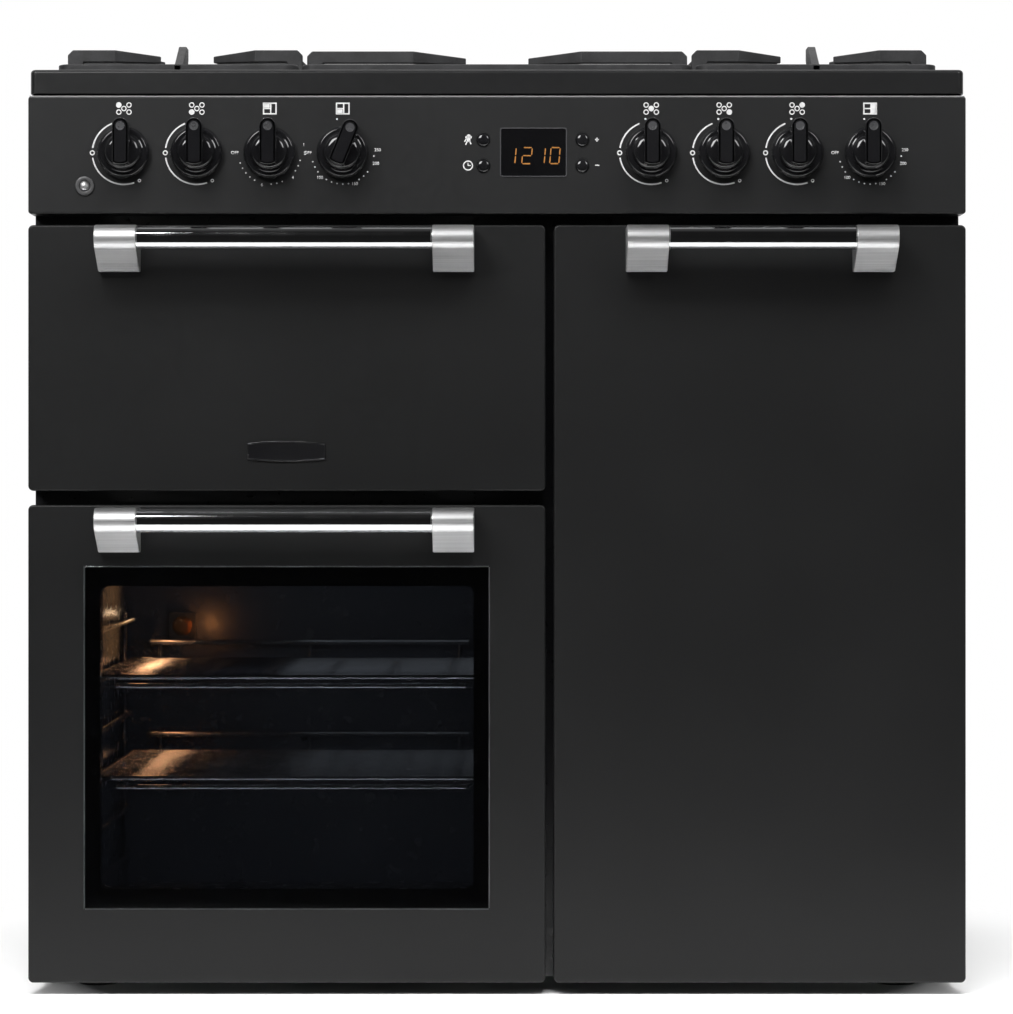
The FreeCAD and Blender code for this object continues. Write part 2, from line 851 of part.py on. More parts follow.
def door_skin(door, label, edges, window=None):
    """The outer panel: a face sheet with rolled edges and returns."""
    left, right, low, high = edges
    body = new_body(label + "_body")
    face = new_sketch(body, "XZ_Plane", neg(FACE))
    outline(face, rounded(left, right, low, high, "size.door_corner"))
    slab = pad(body, face, "size.door_thickness", backward=True)
    round_edges(body, slab, "size.door_edge",
                lambda edge: lies_in(edge, "y", value(FACE)))
    inside = new_sketch(body, "XZ_Plane", neg(DOOR_REAR))
    outline(inside, rounded(f"({left} + size.door_skin)", f"({right} - size.door_skin)",
                            f"({low} + size.door_skin)", f"({high} - size.door_skin)",
                            "size.door_corner - size.door_skin"))
    pocket(body, inside, "size.door_thickness - size.door_skin", along=True)
    if window:
        hole = new_sketch(body, "XZ_Plane", neg(FACE))
        outline(hole, rectangle(*window))
        pocket(body, hole, "size.door_thickness")
    node(cut(label, body, hinge_voids(door, label)), label)


def door_liner(door, label, edges, rim=None, extra=()):
    """The inner panel: a tray with a block for each hinge, set into the outer panel.

    The tray's hollow faces the outer panel.  A rim outline keeps a wall round a window.
    """
    left, right, low, high = edges
    inset = "(size.door_skin + size.seat_gap)"
    wall = f"({inset} + size.sheet)"
    front = f"({FACE} + size.door_skin)"
    body = new_body(label + "_body")
    slab = new_sketch(body, "XZ_Plane", neg(DOOR_REAR))
    outline(slab, rounded(f"({left} + {inset})", f"({right} - {inset})",
                          f"({low} + {inset})", f"({high} - {inset})",
                          "size.door_corner - size.door_skin"))
    pad(body, slab, f"{DOOR_REAR} - {front}")
    hollow = new_sketch(body, "XZ_Plane", neg(front))
    outline(hollow, rectangle(f"({left} + {wall})", f"({right} - {wall})",
                              f"({low} + {wall})", f"({high} - {wall})"))
    if rim:
        outline(hollow, rectangle(*rim))
    pocket(body, hollow, f"{DOOR_REAR} - {front} - size.sheet")
    blocks = [hinge_place(hinge_block(f"{label}_{name}_block"), x, z, upright)
              for name, x, z, upright in hinges_of(door)]
    solid = fuse(label + "_solid", [body] + blocks)
    tools = hinge_voids(door, label)
    for index, (corners, level, length, along) in enumerate(extra):
        tools.append(prism(f"{label}_opening_{index}", "XZ_Plane", corners, neg(level),
                           length, backward=not along))
    node(cut(label, solid, tools), label)


def make_handle(door, middle, door_top, span):
    """Two cast brackets and the round bar between them."""
    top = f"({door_top} - size.bracket_drop)"
    axis_y = f"({FACE} - size.bar_stand_off)"
    axis_z = f"({top} - size.bracket_nose)"
    foot = f"({top} - size.bracket_tall)"
    touch_y = f"({axis_y} - size.bracket_nose * cos(size.bracket_lean))"
    touch_z = f"({axis_z} - size.bracket_nose * sin(size.bracket_lean))"
    profile = [
        (FACE, foot), (FACE, top), (axis_y, top, "size.bracket_nose", -1),
        (f"{axis_y} - size.bracket_nose", axis_z, "size.bracket_nose", -1),
        (touch_y, touch_z),
        (f"{touch_y} + ({touch_z} - {foot}) * tan(size.bracket_lean)", foot),
    ]
    inner = f"({span} / 2 - size.bracket_width)"
    brackets = []
    for side, start in (("left", f"{middle} - {span} / 2"), ("right", f"{middle} + {inner}")):
        name = f"{door}_bracket_{side}"
        blank = prism(name + "_blank", "YZ_Plane", profile, start, "size.bracket_width")
        begin = f"{middle} + {inner}" if side == "right" else (
            f"{middle} - {inner} - size.bar_socket")
        socket = rod(name + "_socket", "X", "size.bar_radius + size.bar_fit",
                     begin, axis_y, axis_z, "size.bar_socket")
        brackets.append(cut(name, blank, [socket]))
    node(group(f"{door}_handle_brackets", brackets))
    bar = new_body(f"{door}_handle_bar")
    reach = f"({inner} + size.bar_socket)"
    sketch = new_sketch(bar, "YZ_Plane", f"{middle} - {reach}")
    circle(sketch, axis_y, axis_z, "size.bar_radius")
    circle(sketch, axis_y, axis_z, "size.bar_radius - size.bar_wall")
    pad(bar, sketch, f"{reach} * 2")
    node(bar)


GRILL_EDGES = (neg(HALF), LEFT_DOOR_END, GRILL_BOTTOM, DOORS_TOP)
OVEN_EDGES = (neg(HALF), LEFT_DOOR_END, "size.floor_gap", OVEN_TOP)
TALL_EDGES = (TALL_DOOR_START, HALF, "size.floor_gap", DOORS_TOP)
GLASS_TOP = f"({OVEN_TOP} - size.glass_drop)"
GLASS_MIDDLE = f"({GLASS_TOP} - size.glass_tall / 2)"


def centred(width, tall, grow="0"):
    """Edges of a rectangle round the middle of the oven window."""
    return (f"({LEFT_DOOR_MIDDLE} - {width} / 2 - {grow})",
            f"({LEFT_DOOR_MIDDLE} + {width} / 2 + {grow})",
            f"({GLASS_MIDDLE} - {tall} / 2 - {grow})",
            f"({GLASS_MIDDLE} + {tall} / 2 + {grow})")


def make_grill_door():
    """The drop-down door of the grill compartment."""
    door_skin("grill", "grill_door_outer", GRILL_EDGES)
    door_liner("grill", "grill_door_inner", GRILL_EDGES)
    make_handle("grill", LEFT_DOOR_MIDDLE, DOORS_TOP, "size.left_handle_span")


def make_oven_door():
    """The drop-down door of the main oven with its two window panes."""
    pane = centred("size.glass_width", "size.glass_tall")
    seat = centred("size.glass_width", "size.glass_tall", "size.glass_fit")
    view = centred("size.window_width", "size.window_tall")
    inner_pane = centred("size.window_width", "size.window_tall", "size.cavity_flange")
    inner_seat = centred("size.window_width", "size.window_tall",
                         "(size.cavity_flange + size.glass_fit)")
    door_skin("oven", "oven_door_outer", OVEN_EDGES, seat)
    rear_seat = f"({DOOR_REAR} - size.glass_thick)"
    rim = centred("size.glass_width", "size.glass_tall", "(size.glass_fit + size.sheet)")
    door_liner("oven", "oven_door_inner", OVEN_EDGES, rim, [
        (rounded(*view, "size.window_corner"), FACE, "size.door_thickness", False),
        (rectangle(*seat), FACE, "size.glass_thick", False),
        (rectangle(*inner_seat), DOOR_REAR, "size.glass_thick", True),
    ])
    outer_glass = prism("outer_pane", "XZ_Plane", rectangle(*pane), neg(FACE),
                        "size.glass_thick", backward=True)
    inner_glass = prism("inner_pane", "XZ_Plane", rectangle(*inner_pane), neg(rear_seat),
                        "size.glass_thick", backward=True)
    node(group("oven_door_glass", [outer_glass, inner_glass]))
    make_handle("oven", LEFT_DOOR_MIDDLE, OVEN_TOP, "size.left_handle_span")


def make_tall_door():
    """The side-hung door of the tall oven."""
    door_skin("tall", "tall_door_outer", TALL_EDGES)
    door_liner("tall", "tall_door_inner", TALL_EDGES)
    make_handle("tall", TALL_DOOR_MIDDLE, DOORS_TOP, "size.tall_handle_span")


# ----------------------------------------------------------------------------------
# Control panel, timer, gas rail, knobs and buttons
# ----------------------------------------------------------------------------------

# Knobs from left to right: name, place in pitches from the first pair, and kind.
KNOBS = [
    ("gas_knob_1", "-1 * (size.knob_first + size.knob_pitch * 3)", "gas"),
    ("gas_knob_2", "-1 * (size.knob_first + size.knob_pitch * 2)", "gas"),
    ("oven_knob_3", "-1 * (size.knob_first + size.knob_pitch)", "oven"),
    ("oven_knob_4", "-1 * size.knob_first", "oven"),
    ("gas_knob_5", "size.knob_first", "gas"),
    ("gas_knob_6", "size.knob_first + size.knob_pitch", "gas"),
    ("gas_knob_7", "size.knob_first + size.knob_pitch * 2", "gas"),
    ("oven_knob_8", "size.knob_first + size.knob_pitch * 3", "oven"),
]
TIMER_Z = f"({PANEL_BOTTOM} + size.timer_rise)"
TIMER_KEYS = [
    ("timer_key_1", "size.timer_key_left", f"({PANEL_BOTTOM} + size.timer_key_high)"),
    ("timer_key_2", "size.timer_key_left", f"({PANEL_BOTTOM} + size.timer_key_low)"),
    ("timer_key_3", "size.timer_key_right", f"({PANEL_BOTTOM} + size.timer_key_high)"),
    ("timer_key_4", "size.timer_key_right", f"({PANEL_BOTTOM} + size.timer_key_low)"),
]
SPARK_Z = f"({PANEL_BOTTOM} + size.spark_rise)"
BEHIND_PANEL = f"({FACE} + size.panel_sheet)"
RAIL_Y = f"({BEHIND_PANEL} + size.tap_neck_long + size.tap_long)"


def timer_edges(grow="0"):
    """Edges of the timer window, grown by a margin."""
    return (f"(size.timer_place - size.timer_wide / 2 - {grow})",
            f"(size.timer_place + size.timer_wide / 2 + {grow})",
            f"({TIMER_Z} - size.timer_tall / 2 - {grow})",
            f"({TIMER_Z} + size.timer_tall / 2 + {grow})")


def make_control_panel():
    """The folded fascia with its holes, and the bezel of the ignition button on it."""
    body = new_body("fascia")
    face = new_sketch(body, "XZ_Plane", neg(FACE))
    outline(face, rounded(neg(HALF), HALF, PANEL_BOTTOM, PANEL_TOP, "size.panel_corner"))
    slab = pad(body, face, f"{CHASSIS} - {FACE}", backward=True)
    round_edges(body, slab, "size.door_edge",
                lambda edge: lies_in(edge, "y", value(FACE)))
    inside = new_sketch(body, "XZ_Plane", neg(CHASSIS))
    outline(inside, rectangle(f"({neg(HALF)} + size.panel_sheet)", f"({HALF} - size.panel_sheet)",
                              f"({PANEL_BOTTOM} + size.panel_sheet)",
                              f"({PANEL_TOP} - size.panel_sheet)"))
    pocket(body, inside, f"{CHASSIS} - {BEHIND_PANEL}", along=True)
    holes = new_sketch(body, "XZ_Plane", neg(FACE))
    for _, x, _ in KNOBS:
        circle(holes, x, KNOB_Z, "size.fascia_hole")
    for _, x, z in TIMER_KEYS:
        circle(holes, x, z, "size.key_radius + size.key_fit")
    circle(holes, "size.spark_place", SPARK_Z, "size.spark_key + size.key_fit")
    outline(holes, rectangle(*timer_edges("size.timer_fit")))
    pocket(body, holes, "size.panel_sheet")
    bezel = new_body("ignition_bezel")
    washer = new_sketch(bezel, "XZ_Plane", neg(FACE))
    circle(washer, "size.spark_place", SPARK_Z, "size.spark_ring")
    circle(washer, "size.spark_place", SPARK_Z, "size.spark_key + size.key_fit")
    disc = pad(bezel, washer, "size.spark_ring_proud")
    round_edges(bezel, disc, "size.spark_ring_round",
                lambda edge: lies_in(edge, "y", value(f"{FACE} - size.spark_ring_proud")))
    node(group("control_panel", [body, bezel]))


def make_timer():
    """The timer: window block, its case and the board that carries the key switches."""
    window = block("timer_window", *timer_edges()[:2], FACE, BEHIND_PANEL, *timer_edges()[2:])
    case = block("timer_case", *timer_edges("size.timer_box_wall")[:2], BEHIND_PANEL,
                 TIMER_BOARD_Y, *timer_edges("size.timer_box_wall")[2:])
    board = block("timer_board", "size.timer_place - size.timer_board_wide / 2",
                  "size.timer_place + size.timer_board_wide / 2", TIMER_BOARD_Y,
                  f"{TIMER_BOARD_Y} + size.timer_board_deep",
                  *timer_edges("size.timer_box_wall")[2:])
    node(fuse("timer_module", [window, case, board]))


# The board's front stands behind the keys' stems by their travel and a small gap.
TIMER_BOARD_Y = f"({BEHIND_PANEL} + size.key_fit + size.key_stem_long + size.key_travel)"


def make_timer_key(name, x, z):
    """A domed key with a retaining flange behind the fascia and a stem."""
    body = new_body(name)
    profile = new_sketch(body, "XY_Plane")
    flange = f"({BEHIND_PANEL} - {FACE} + size.key_fit)"
    dome = "(size.key_radius - size.key_round)"
    outline(profile, [
        ("0", "0 - size.key_proud"), (dome, "0 - size.key_proud", "size.key_round", -1),
        ("size.key_radius", "size.key_round - size.key_proud"), ("size.key_radius", flange),
        ("size.key_flange", flange), ("size.key_flange", f"{flange} + size.key_flange_thick"),
        ("size.key_stem", f"{flange} + size.key_flange_thick"),
        ("size.key_stem", f"{flange} + size.key_stem_long - size.key_fit"),
        ("0", f"{flange} + size.key_stem_long - size.key_fit"),
    ])
    revolve(body, profile, "V_Axis")
    node(place(body, x, FACE, z))


def make_spark_key():
    """The ignition button: a bright domed plunger."""
    body = new_body("ignition_button")
    profile = new_sketch(body, "XY_Plane")
    back = f"({BEHIND_PANEL} - {FACE} + size.key_fit)"
    flange = "(size.spark_key + size.spark_flange)"
    stem = f"({back} + size.spark_flange)"
    outline(profile, [
        ("0", "0 - size.spark_proud"),
        ("size.spark_key - size.spark_round", "0 - size.spark_proud", "size.spark_round", -1),
        ("size.spark_key", "size.spark_round - size.spark_proud"), ("size.spark_key", back),
        (flange, back), (flange, stem), ("size.key_stem", stem),
        ("size.key_stem", f"{stem} + size.spark_travel * 2"),
        ("0", f"{stem} + size.spark_travel * 2"),
    ])
    revolve(body, profile, "V_Axis")
    node(place(body, "size.spark_place", FACE, SPARK_Z))


def gas_tap(name, x):
    """A tap with its neck behind the fascia and its saddle on the rail."""
    neck = rod(name + "_neck", "Y", "size.tap_neck", x, BEHIND_PANEL, KNOB_Z,
               "size.tap_neck_long")
    barrel = rod(name + "_barrel", "Y", "size.tap_radius", x,
                 f"{BEHIND_PANEL} + size.tap_neck_long", KNOB_Z, "size.tap_long")
    outlet = rod(name + "_outlet", "Z", "size.tap_outlet", x,
                 f"{BEHIND_PANEL} + size.tap_neck_long + size.tap_long / 2", KNOB_Z,
                 "size.tap_outlet_rise")
    return [neck, barrel, outlet]


def make_gas_rail():
    """The gas rail with its five taps and the pipe to the inlet at the back."""
    gas = [(name, x) for name, x, kind in KNOBS if kind == "gas"]
    first = f"({gas[0][1]} - size.tap_radius)"
    straight = f"(size.inlet_place - size.rail_bend - {first})"
    pieces = [rod("rail", "X", "size.rail_radius", first, RAIL_Y, KNOB_Z, straight)]
    bend = doc.addObject("Part::Torus", "rail_bend")
    bend.Placement = Placement(Vector(), Rotation(Vector(0, 0, 1), -90))
    place(bend, "size.inlet_place - size.rail_bend", f"{RAIL_Y} + size.rail_bend", KNOB_Z)
    bind(bend, Radius1="size.rail_bend", Radius2="size.rail_radius")
    bend.Angle3 = 90
    run = f"({RAIL_Y} + size.rail_bend)"
    pieces += [
        bend,
        rod("rail_run", "Y", "size.rail_radius", "size.inlet_place", run, KNOB_Z,
            f"{BACK_SHEET} - {run}"),
        rod("inlet_collar", "Y", "size.inlet_collar", "size.inlet_place", BACK_SHEET,
            KNOB_Z, "size.rear_recess - size.inlet_long - size.inlet_short"),
        rod("inlet_thread", "Y", "size.inlet_radius", "size.inlet_place", BACK_SHEET,
            KNOB_Z, "size.rear_recess - size.inlet_short"),
    ]
    for name, x in gas:
        pieces += gas_tap(name.replace("knob", "tap"), x)
    bores = [rod(f"{name}_seat", "Y", "size.shaft_radius + size.shaft_fit", x, BEHIND_PANEL,
                 KNOB_Z, "size.tap_neck_long + size.tap_long / 2") for name, x in gas]
    node(cut("gas_rail", fuse("rail_solid", pieces), bores))


def terminal_box():
    """The mains terminal box inside the back panel, open to the cable hole."""
    half = "(size.terminal_wide / 2)"
    front = f"({BACK_SHEET} - size.sheet - size.switch_deep)"
    rear = f"({BACK_SHEET} - size.sheet)"
    low = f"({TERMINAL_Z} - size.terminal_tall / 2)"
    high = f"({TERMINAL_Z} + size.terminal_tall / 2)"
    case = block("terminal_case", f"size.terminal_place - {half}",
                 f"size.terminal_place + {half}", front, rear, low, high)
    bore = rod("terminal_bore", "Y", "size.gland_radius", "size.terminal_place",
               f"{rear} - size.gland_deep", TERMINAL_Z, "size.gland_deep + size.cut_over")
    return cut("terminal_box", case, [bore])


def make_electrical_cases():
    """Three oven switches and the ignition switch on the fascia, and the terminal box."""
    switches = [terminal_box()]
    half = "size.switch_wide / 2"
    for name, x, kind in KNOBS:
        if kind == "oven":
            base = block(name + "_case", f"{x} - {half}", f"{x} + {half}", BEHIND_PANEL,
                         f"{BEHIND_PANEL} + size.switch_deep", f"{KNOB_Z} - {half}",
                         f"{KNOB_Z} + {half}")
            bore = rod(name + "_seat", "Y", "size.shaft_radius + size.shaft_fit", x,
                       f"{BEHIND_PANEL} - size.cut_over", KNOB_Z,
                       "size.switch_deep / 2 + size.cut_over")
            switches.append(cut(name.replace("knob", "switch"), base, [bore]))
    spark = "size.spark_switch"
    case = block("spark_case", f"size.spark_place - {spark}", f"size.spark_place + {spark}",
                 BEHIND_PANEL, f"{BEHIND_PANEL} + size.spark_switch_deep",
                 f"{SPARK_Z} - {spark}", f"{SPARK_Z} + {spark}")
    room = rod("spark_room", "Y", "size.spark_key + size.spark_room", "size.spark_place",
               f"{BEHIND_PANEL} - size.cut_over", SPARK_Z,
               "size.spark_switch_deep - size.cut_over")
    switches.append(cut("spark_switch", case, [room]))
    node(group("electrical_cases", switches))


def d_outline(fit):
    """A shaft's round section with one flat, grown by a fit."""
    radius = f"(size.shaft_radius + {fit})"
    flat = f"(size.shaft_flat + {fit})"
    half = f"sqrt({radius} * {radius} - {flat} * {flat})"
    return [
        (neg(half), neg(flat)), (half, neg(flat), radius, -1),
        (radius, "0", radius, -1), ("0", radius, radius, -1), (neg(radius), "0", radius, -1),
    ]


def make_spindle(name, x):
    """A gas tap's spindle: round in the tap, with a flat inside the knob."""
    body = new_body(name)
    shank = new_sketch(body, "XZ_Plane", f"0 - ({BEHIND_PANEL} - {FACE})")
    circle(shank, "0", "0", "size.shaft_radius")
    pad(body, shank, "size.tap_neck_long + size.tap_long / 2 - size.seat_gap", backward=True)
    stub = new_sketch(body, "XZ_Plane", f"0 - ({BEHIND_PANEL} - {FACE})")
    outline(stub, d_outline("0"))
    pad(body, stub, f"{BEHIND_PANEL} - {FACE} + size.knob_gap + size.shaft_insert")
    node(place(body, x, FACE, KNOB_Z))


def make_knob(name, x, kind):
    """A knob: skirt, dome and a beaked grip bar, drawn about its shaft axis."""
    body = new_body(name)
    turned = new_sketch(body, "XY_Plane")
    rear = "(0 - size.knob_gap)"
    outline(turned, [
        ("0", rear), ("size.knob_skirt", rear),
        ("size.knob_skirt", f"{rear} - size.knob_skirt_edge"),
        ("size.knob_skirt - size.knob_skirt_slope", f"{rear} - size.knob_skirt_tall"),
        ("size.knob_dome + size.knob_dome_foot",
         f"{rear} - size.knob_skirt_tall - size.knob_groove"),
        ("size.knob_dome", f"{rear} - size.knob_dome_tall + size.knob_dome_edge"),
        ("size.knob_dome - size.knob_dome_slope", f"{rear} - size.knob_dome_tall"),
        ("0", f"{rear} - size.knob_dome_tall"),
    ])
    revolve(body, turned, "V_Axis")
    half = "(size.grip_width / 2)"
    grip = new_sketch(body, "XZ_Plane", "size.knob_gap + size.grip_root")
    outline(grip, [
        (neg(half), f"(size.grip_beak - {half})"), (neg(half), neg("size.grip_tail")),
        (half, neg("size.grip_tail")),
        (half, f"(size.grip_beak - {half})", half, -1), ("0", "size.grip_beak", half, -1),
    ])
    bar = pad(body, grip, "size.knob_tall - size.grip_root")
    front = "(0 - size.knob_gap - size.knob_tall)"
    round_edges(body, bar, "size.grip_round",
                lambda edge: lies_in(edge, "y", value(front)))
    dot = new_sketch(body, "XZ_Plane", "size.knob_gap + size.knob_tall")
    circle(dot, "0", f"size.grip_beak - {half}", "size.dot_radius")
    pocket(body, dot, "size.dot_deep")
    if kind == "gas":
        bore = new_sketch(body, "XZ_Plane", "size.knob_gap")
        outline(bore, d_outline("size.shaft_fit"))
        pocket(body, bore, "size.shaft_insert + size.push_travel + size.cut_over",
               along=True)
    else:
        shaft = new_sketch(body, "XZ_Plane", "size.knob_gap + size.cut_over")
        circle(shaft, "0", "0", "size.shaft_radius")
        pad(body, shaft, f"size.knob_gap + size.cut_over + {BEHIND_PANEL} - {FACE}"
            " + size.switch_deep / 2 - size.seat_gap", backward=True)
    if name == "oven_knob_4":
        body.Placement = Placement(Vector(), Rotation(Vector(0, 1, 0), 0))
        bind(body, Placement__Rotation__Angle="size.rest_turn")
    node(place(body, x, FACE, KNOB_Z))


# ----------------------------------------------------------------------------------
# Hob: pressed top, burners and pan supports
# ----------------------------------------------------------------------------------

FRONT_ROW = f"({FACE} + size.burner_front)"
REAR_ROW = f"({FACE} + size.burner_rear)"
HOB_MIDDLE = f"({FACE} + size.body_depth / 2)"

# Each burner: name, place and radius of its crown.
BURNERS = [
    ("rear_left", "0 - size.burner_place", REAR_ROW, "size.crown_large"),
    ("front_left", "0 - size.burner_place", FRONT_ROW, "size.crown_medium"),
    ("centre", "0", HOB_MIDDLE, "size.crown_wok"),
    ("front_right", "size.burner_place", FRONT_ROW, "size.crown_small"),
    ("rear_right", "size.burner_place", REAR_ROW, "size.crown_medium"),
]


def make_hotplate():
    """The pressed hob top: rolled rim, sunk basin and burner wells."""
    edge = f"({HALF} - size.hob_side_inset)"
    body = new_body("hotplate")
    plan = new_sketch(body, "XY_Plane", HOB_BOTTOM)
    outline(plan, rounded(neg(edge), edge, FACE, BACK, "size.hob_corner"))
    slab = pad(body, plan, "size.hob_lip_height")
    round_edges(body, slab, "size.hob_edge",
                lambda item: lies_in(item, "z", value(HOB_TOP)))
    basin = new_sketch(body, "XY_Plane", HOB_TOP)
    outline(basin, rounded(f"({neg(edge)} + size.lip_width)", f"({edge} - size.lip_width)",
                           f"({FACE} + size.lip_width)", f"({BACK} - size.lip_width)",
                           "size.basin_corner"))
    pocket(body, basin, "size.basin_deep")
    below = new_sketch(body, "XY_Plane", HOB_BOTTOM)
    outline(below, rounded(f"({neg(edge)} + size.hob_sheet)", f"({edge} - size.hob_sheet)",
                           f"({FACE} + size.hob_sheet)", f"({BACK} - size.hob_sheet)",
                           "size.hob_corner - size.hob_sheet"))
    pocket(body, below, "size.hob_lip_height - size.basin_deep - size.hob_sheet", along=True)
    wells = new_sketch(body, "XY_Plane", HOB_TOP)
    for _, x, y, crown in BURNERS:
        circle(wells, x, y, f"{crown} - size.cup_inset + size.hole_gap")
    pocket(body, wells, "size.hob_lip_height")
    node(body)


def make_burners():
    """Five burner crowns with flame ports, each under a loose enamelled cap."""
    crowns = []
    caps = []
    for name, x, y, crown in BURNERS:
        body = new_body(f"{name}_crown")
        turned = new_sketch(body, "XZ_Plane")
        cup = f"({crown} - size.cup_inset)"
        wall = f"({crown} - size.crown_step)"
        outline(turned, [
            ("0", "0 - size.cup_deep"), (cup, "0 - size.cup_deep"), (cup, "0"),
            (crown, "0"), (crown, "size.crown_flange"),
            (wall, "size.crown_flange + size.crown_slope"), (wall, "size.crown_tall"),
            ("0", "size.crown_tall"),
        ])
        revolve(body, turned, "V_Axis")
        port = new_sketch(body, "XY_Plane", "size.crown_tall - size.port_drop")
        half = "(size.port_width / 2)"
        outline(port, rectangle(cup, f"{crown} + size.cut_over", neg(half), half))
        slot = pocket(body, port, "size.port_tall")
        ports = body.newObject("PartDesign::PolarPattern", f"{name}_ports")
        ports.Originals = [slot]
        ports.Axis = (port, ["N_Axis"])
        ports.Angle = 360
        bind(ports, Occurrences="size.port_count")
        body.Tip = ports
        crowns.append(place(body, x, y, BASIN))
        cap = new_body(f"{name}_cap")
        dome = new_sketch(cap, "XZ_Plane")
        rim = f"({crown} + size.cap_over)"
        outline(dome, [
            ("0", "size.crown_tall"), (rim, "size.crown_tall"),
            (rim, "size.crown_tall + size.cap_edge_tall"),
            (f"{crown} - size.cap_slope", "size.crown_tall + size.cap_slope_tall"),
            ("0", "size.crown_tall + size.cap_tall"),
        ])
        revolve(cap, dome, "V_Axis")
        caps.append(place(cap, x, y, BASIN))
    node(group("burner_crowns", crowns))
    node(group("burner_caps", caps))


GRATE_TOP = f"({BASIN} + size.grate_bar * 2)"
GRATE_LOW = f"({GRATE_TOP} - size.grate_bar)"
FINGER_LOW = f"({SUPPORT_TOP} - size.finger_deep)"
SUPPORT_START = f"({FACE} + size.support_front)"
SUPPORT_END = f"({BACK} - size.support_front)"


def grate_frame(name, left, right):
    """The rounded ring of a pan support with its four feet."""
    bar = "size.grate_bar"
    frame = ring(name + "_ring", "XY_Plane",
                 rounded(left, right, SUPPORT_START, SUPPORT_END, "size.grate_corner"),
                 rounded(f"({left} + {bar})", f"({right} - {bar})",
                         f"({SUPPORT_START} + {bar})", f"({SUPPORT_END} - {bar})",
                         "size.grate_hole_corner"),
                 GRATE_LOW, bar)
    feet = []
    inset = "size.grate_foot_inset"
    for tag, x, y in (
            ("a", f"{left} + {inset}", f"{SUPPORT_START} + {inset}"),
            ("b", f"{right} - {inset}", f"{SUPPORT_START} + {inset}"),
            ("c", f"{left} + {inset}", f"{SUPPORT_END} - {inset}"),
            ("d", f"{right} - {inset}", f"{SUPPORT_END} - {inset}")):
        feet.append(rod(f"{name}_foot_{tag}", "Z", "size.grate_foot", x, y,
                        f"{BASIN} + size.seat_gap", f"{GRATE_LOW} - {BASIN} + size.cut_over"))
    return [frame] + feet


def finger(name, axis_x, wall_x, row, reach, tip):
    """A finger left of a burner: riser, straight blade and the kinked, falling tip.

    It starts at the side bar at wall_x, runs along X at the level of the row and bends
    back towards the burner at the given reach from the axis.
    """
    half = "(size.finger_width / 2)"
    bend_x = f"({axis_x} - {reach})"
    blade = prism(name + "_blade", "XZ_Plane", [
        (wall_x, GRATE_LOW), (f"{wall_x} + size.grate_bar", GRATE_LOW),
        (f"{wall_x} + size.riser_long", FINGER_LOW), (bend_x, FINGER_LOW),
        (bend_x, SUPPORT_TOP), (f"{wall_x} + size.grate_bar / 2", SUPPORT_TOP),
        (wall_x, f"{SUPPORT_TOP} - size.grate_bar / 2"),
    ], f"0 - ({row} + {half})", "size.finger_width")
    knuckle = rod(name + "_knuckle", "Z", half, bend_x, row, FINGER_LOW, "size.finger_deep")
    run = f"(({reach} - {tip}) / cos(size.tip_angle))"
    point = prism(name + "_tip", "XZ_Plane", [
        ("0", "0"), (run, "size.tip_fall / 2"), (run, "size.finger_deep - size.tip_fall"),
        ("0", "size.finger_deep"),
    ], f"0 - {half}", "size.finger_width")
    point.Placement = Placement(Vector(), Rotation(Vector(0, 0, 1), 0))
    bind(point, Placement__Rotation__Angle="size.tip_angle")
    place(point, bend_x, row, FINGER_LOW)
    return fuse(name, [blade, knuckle, point])


def spur(name, x):
    """A straight rib from the front bar towards the burner behind it."""
    half = "(size.finger_width / 2)"
    end = f"({SUPPORT_START} + size.spur_reach)"
    return prism(name, "YZ_Plane", [
        (SUPPORT_START, GRATE_LOW), (f"{SUPPORT_START} + size.spur_foot", GRATE_LOW),
        (end, FINGER_LOW), (end, SUPPORT_TOP),
        (f"{SUPPORT_START} + size.spur_slope", SUPPORT_TOP),
        (f"{SUPPORT_START} + size.grate_bar", GRATE_TOP), (SUPPORT_START, GRATE_TOP),
    ], f"{x} - {half}", "size.finger_width")


def make_side_support(name, sign):
    """A pan support over a front and a rear burner."""
    axis = f"({sign} * size.burner_place)"
    ends = [f"({sign} * size.side_support_in)", f"({sign} * size.side_support_out)"]
    left, right = ends if sign == "1" else ends[::-1]
    pieces = grate_frame(name, left, right)
    row = f"({FRONT_ROW} - size.finger_offset)"
    one = finger(name + "_finger", axis, left, row, "size.finger_break", "size.finger_tip")
    pair = fuse(name + "_pair", [one, mirror(name + "_other", one, Vector(1, 0, 0), x=axis)])
    four = fuse(name + "_four", [pair, mirror(name + "_behind", pair, Vector(0, 1, 0),
                                              y=FRONT_ROW)])
    rib = spur(name + "_spur", axis)
    half = fuse(name + "_half", [four, rib])
    pieces += [half, mirror(name + "_rear", half, Vector(0, 1, 0), y=HOB_MIDDLE)]
    node(fuse(name, pieces))


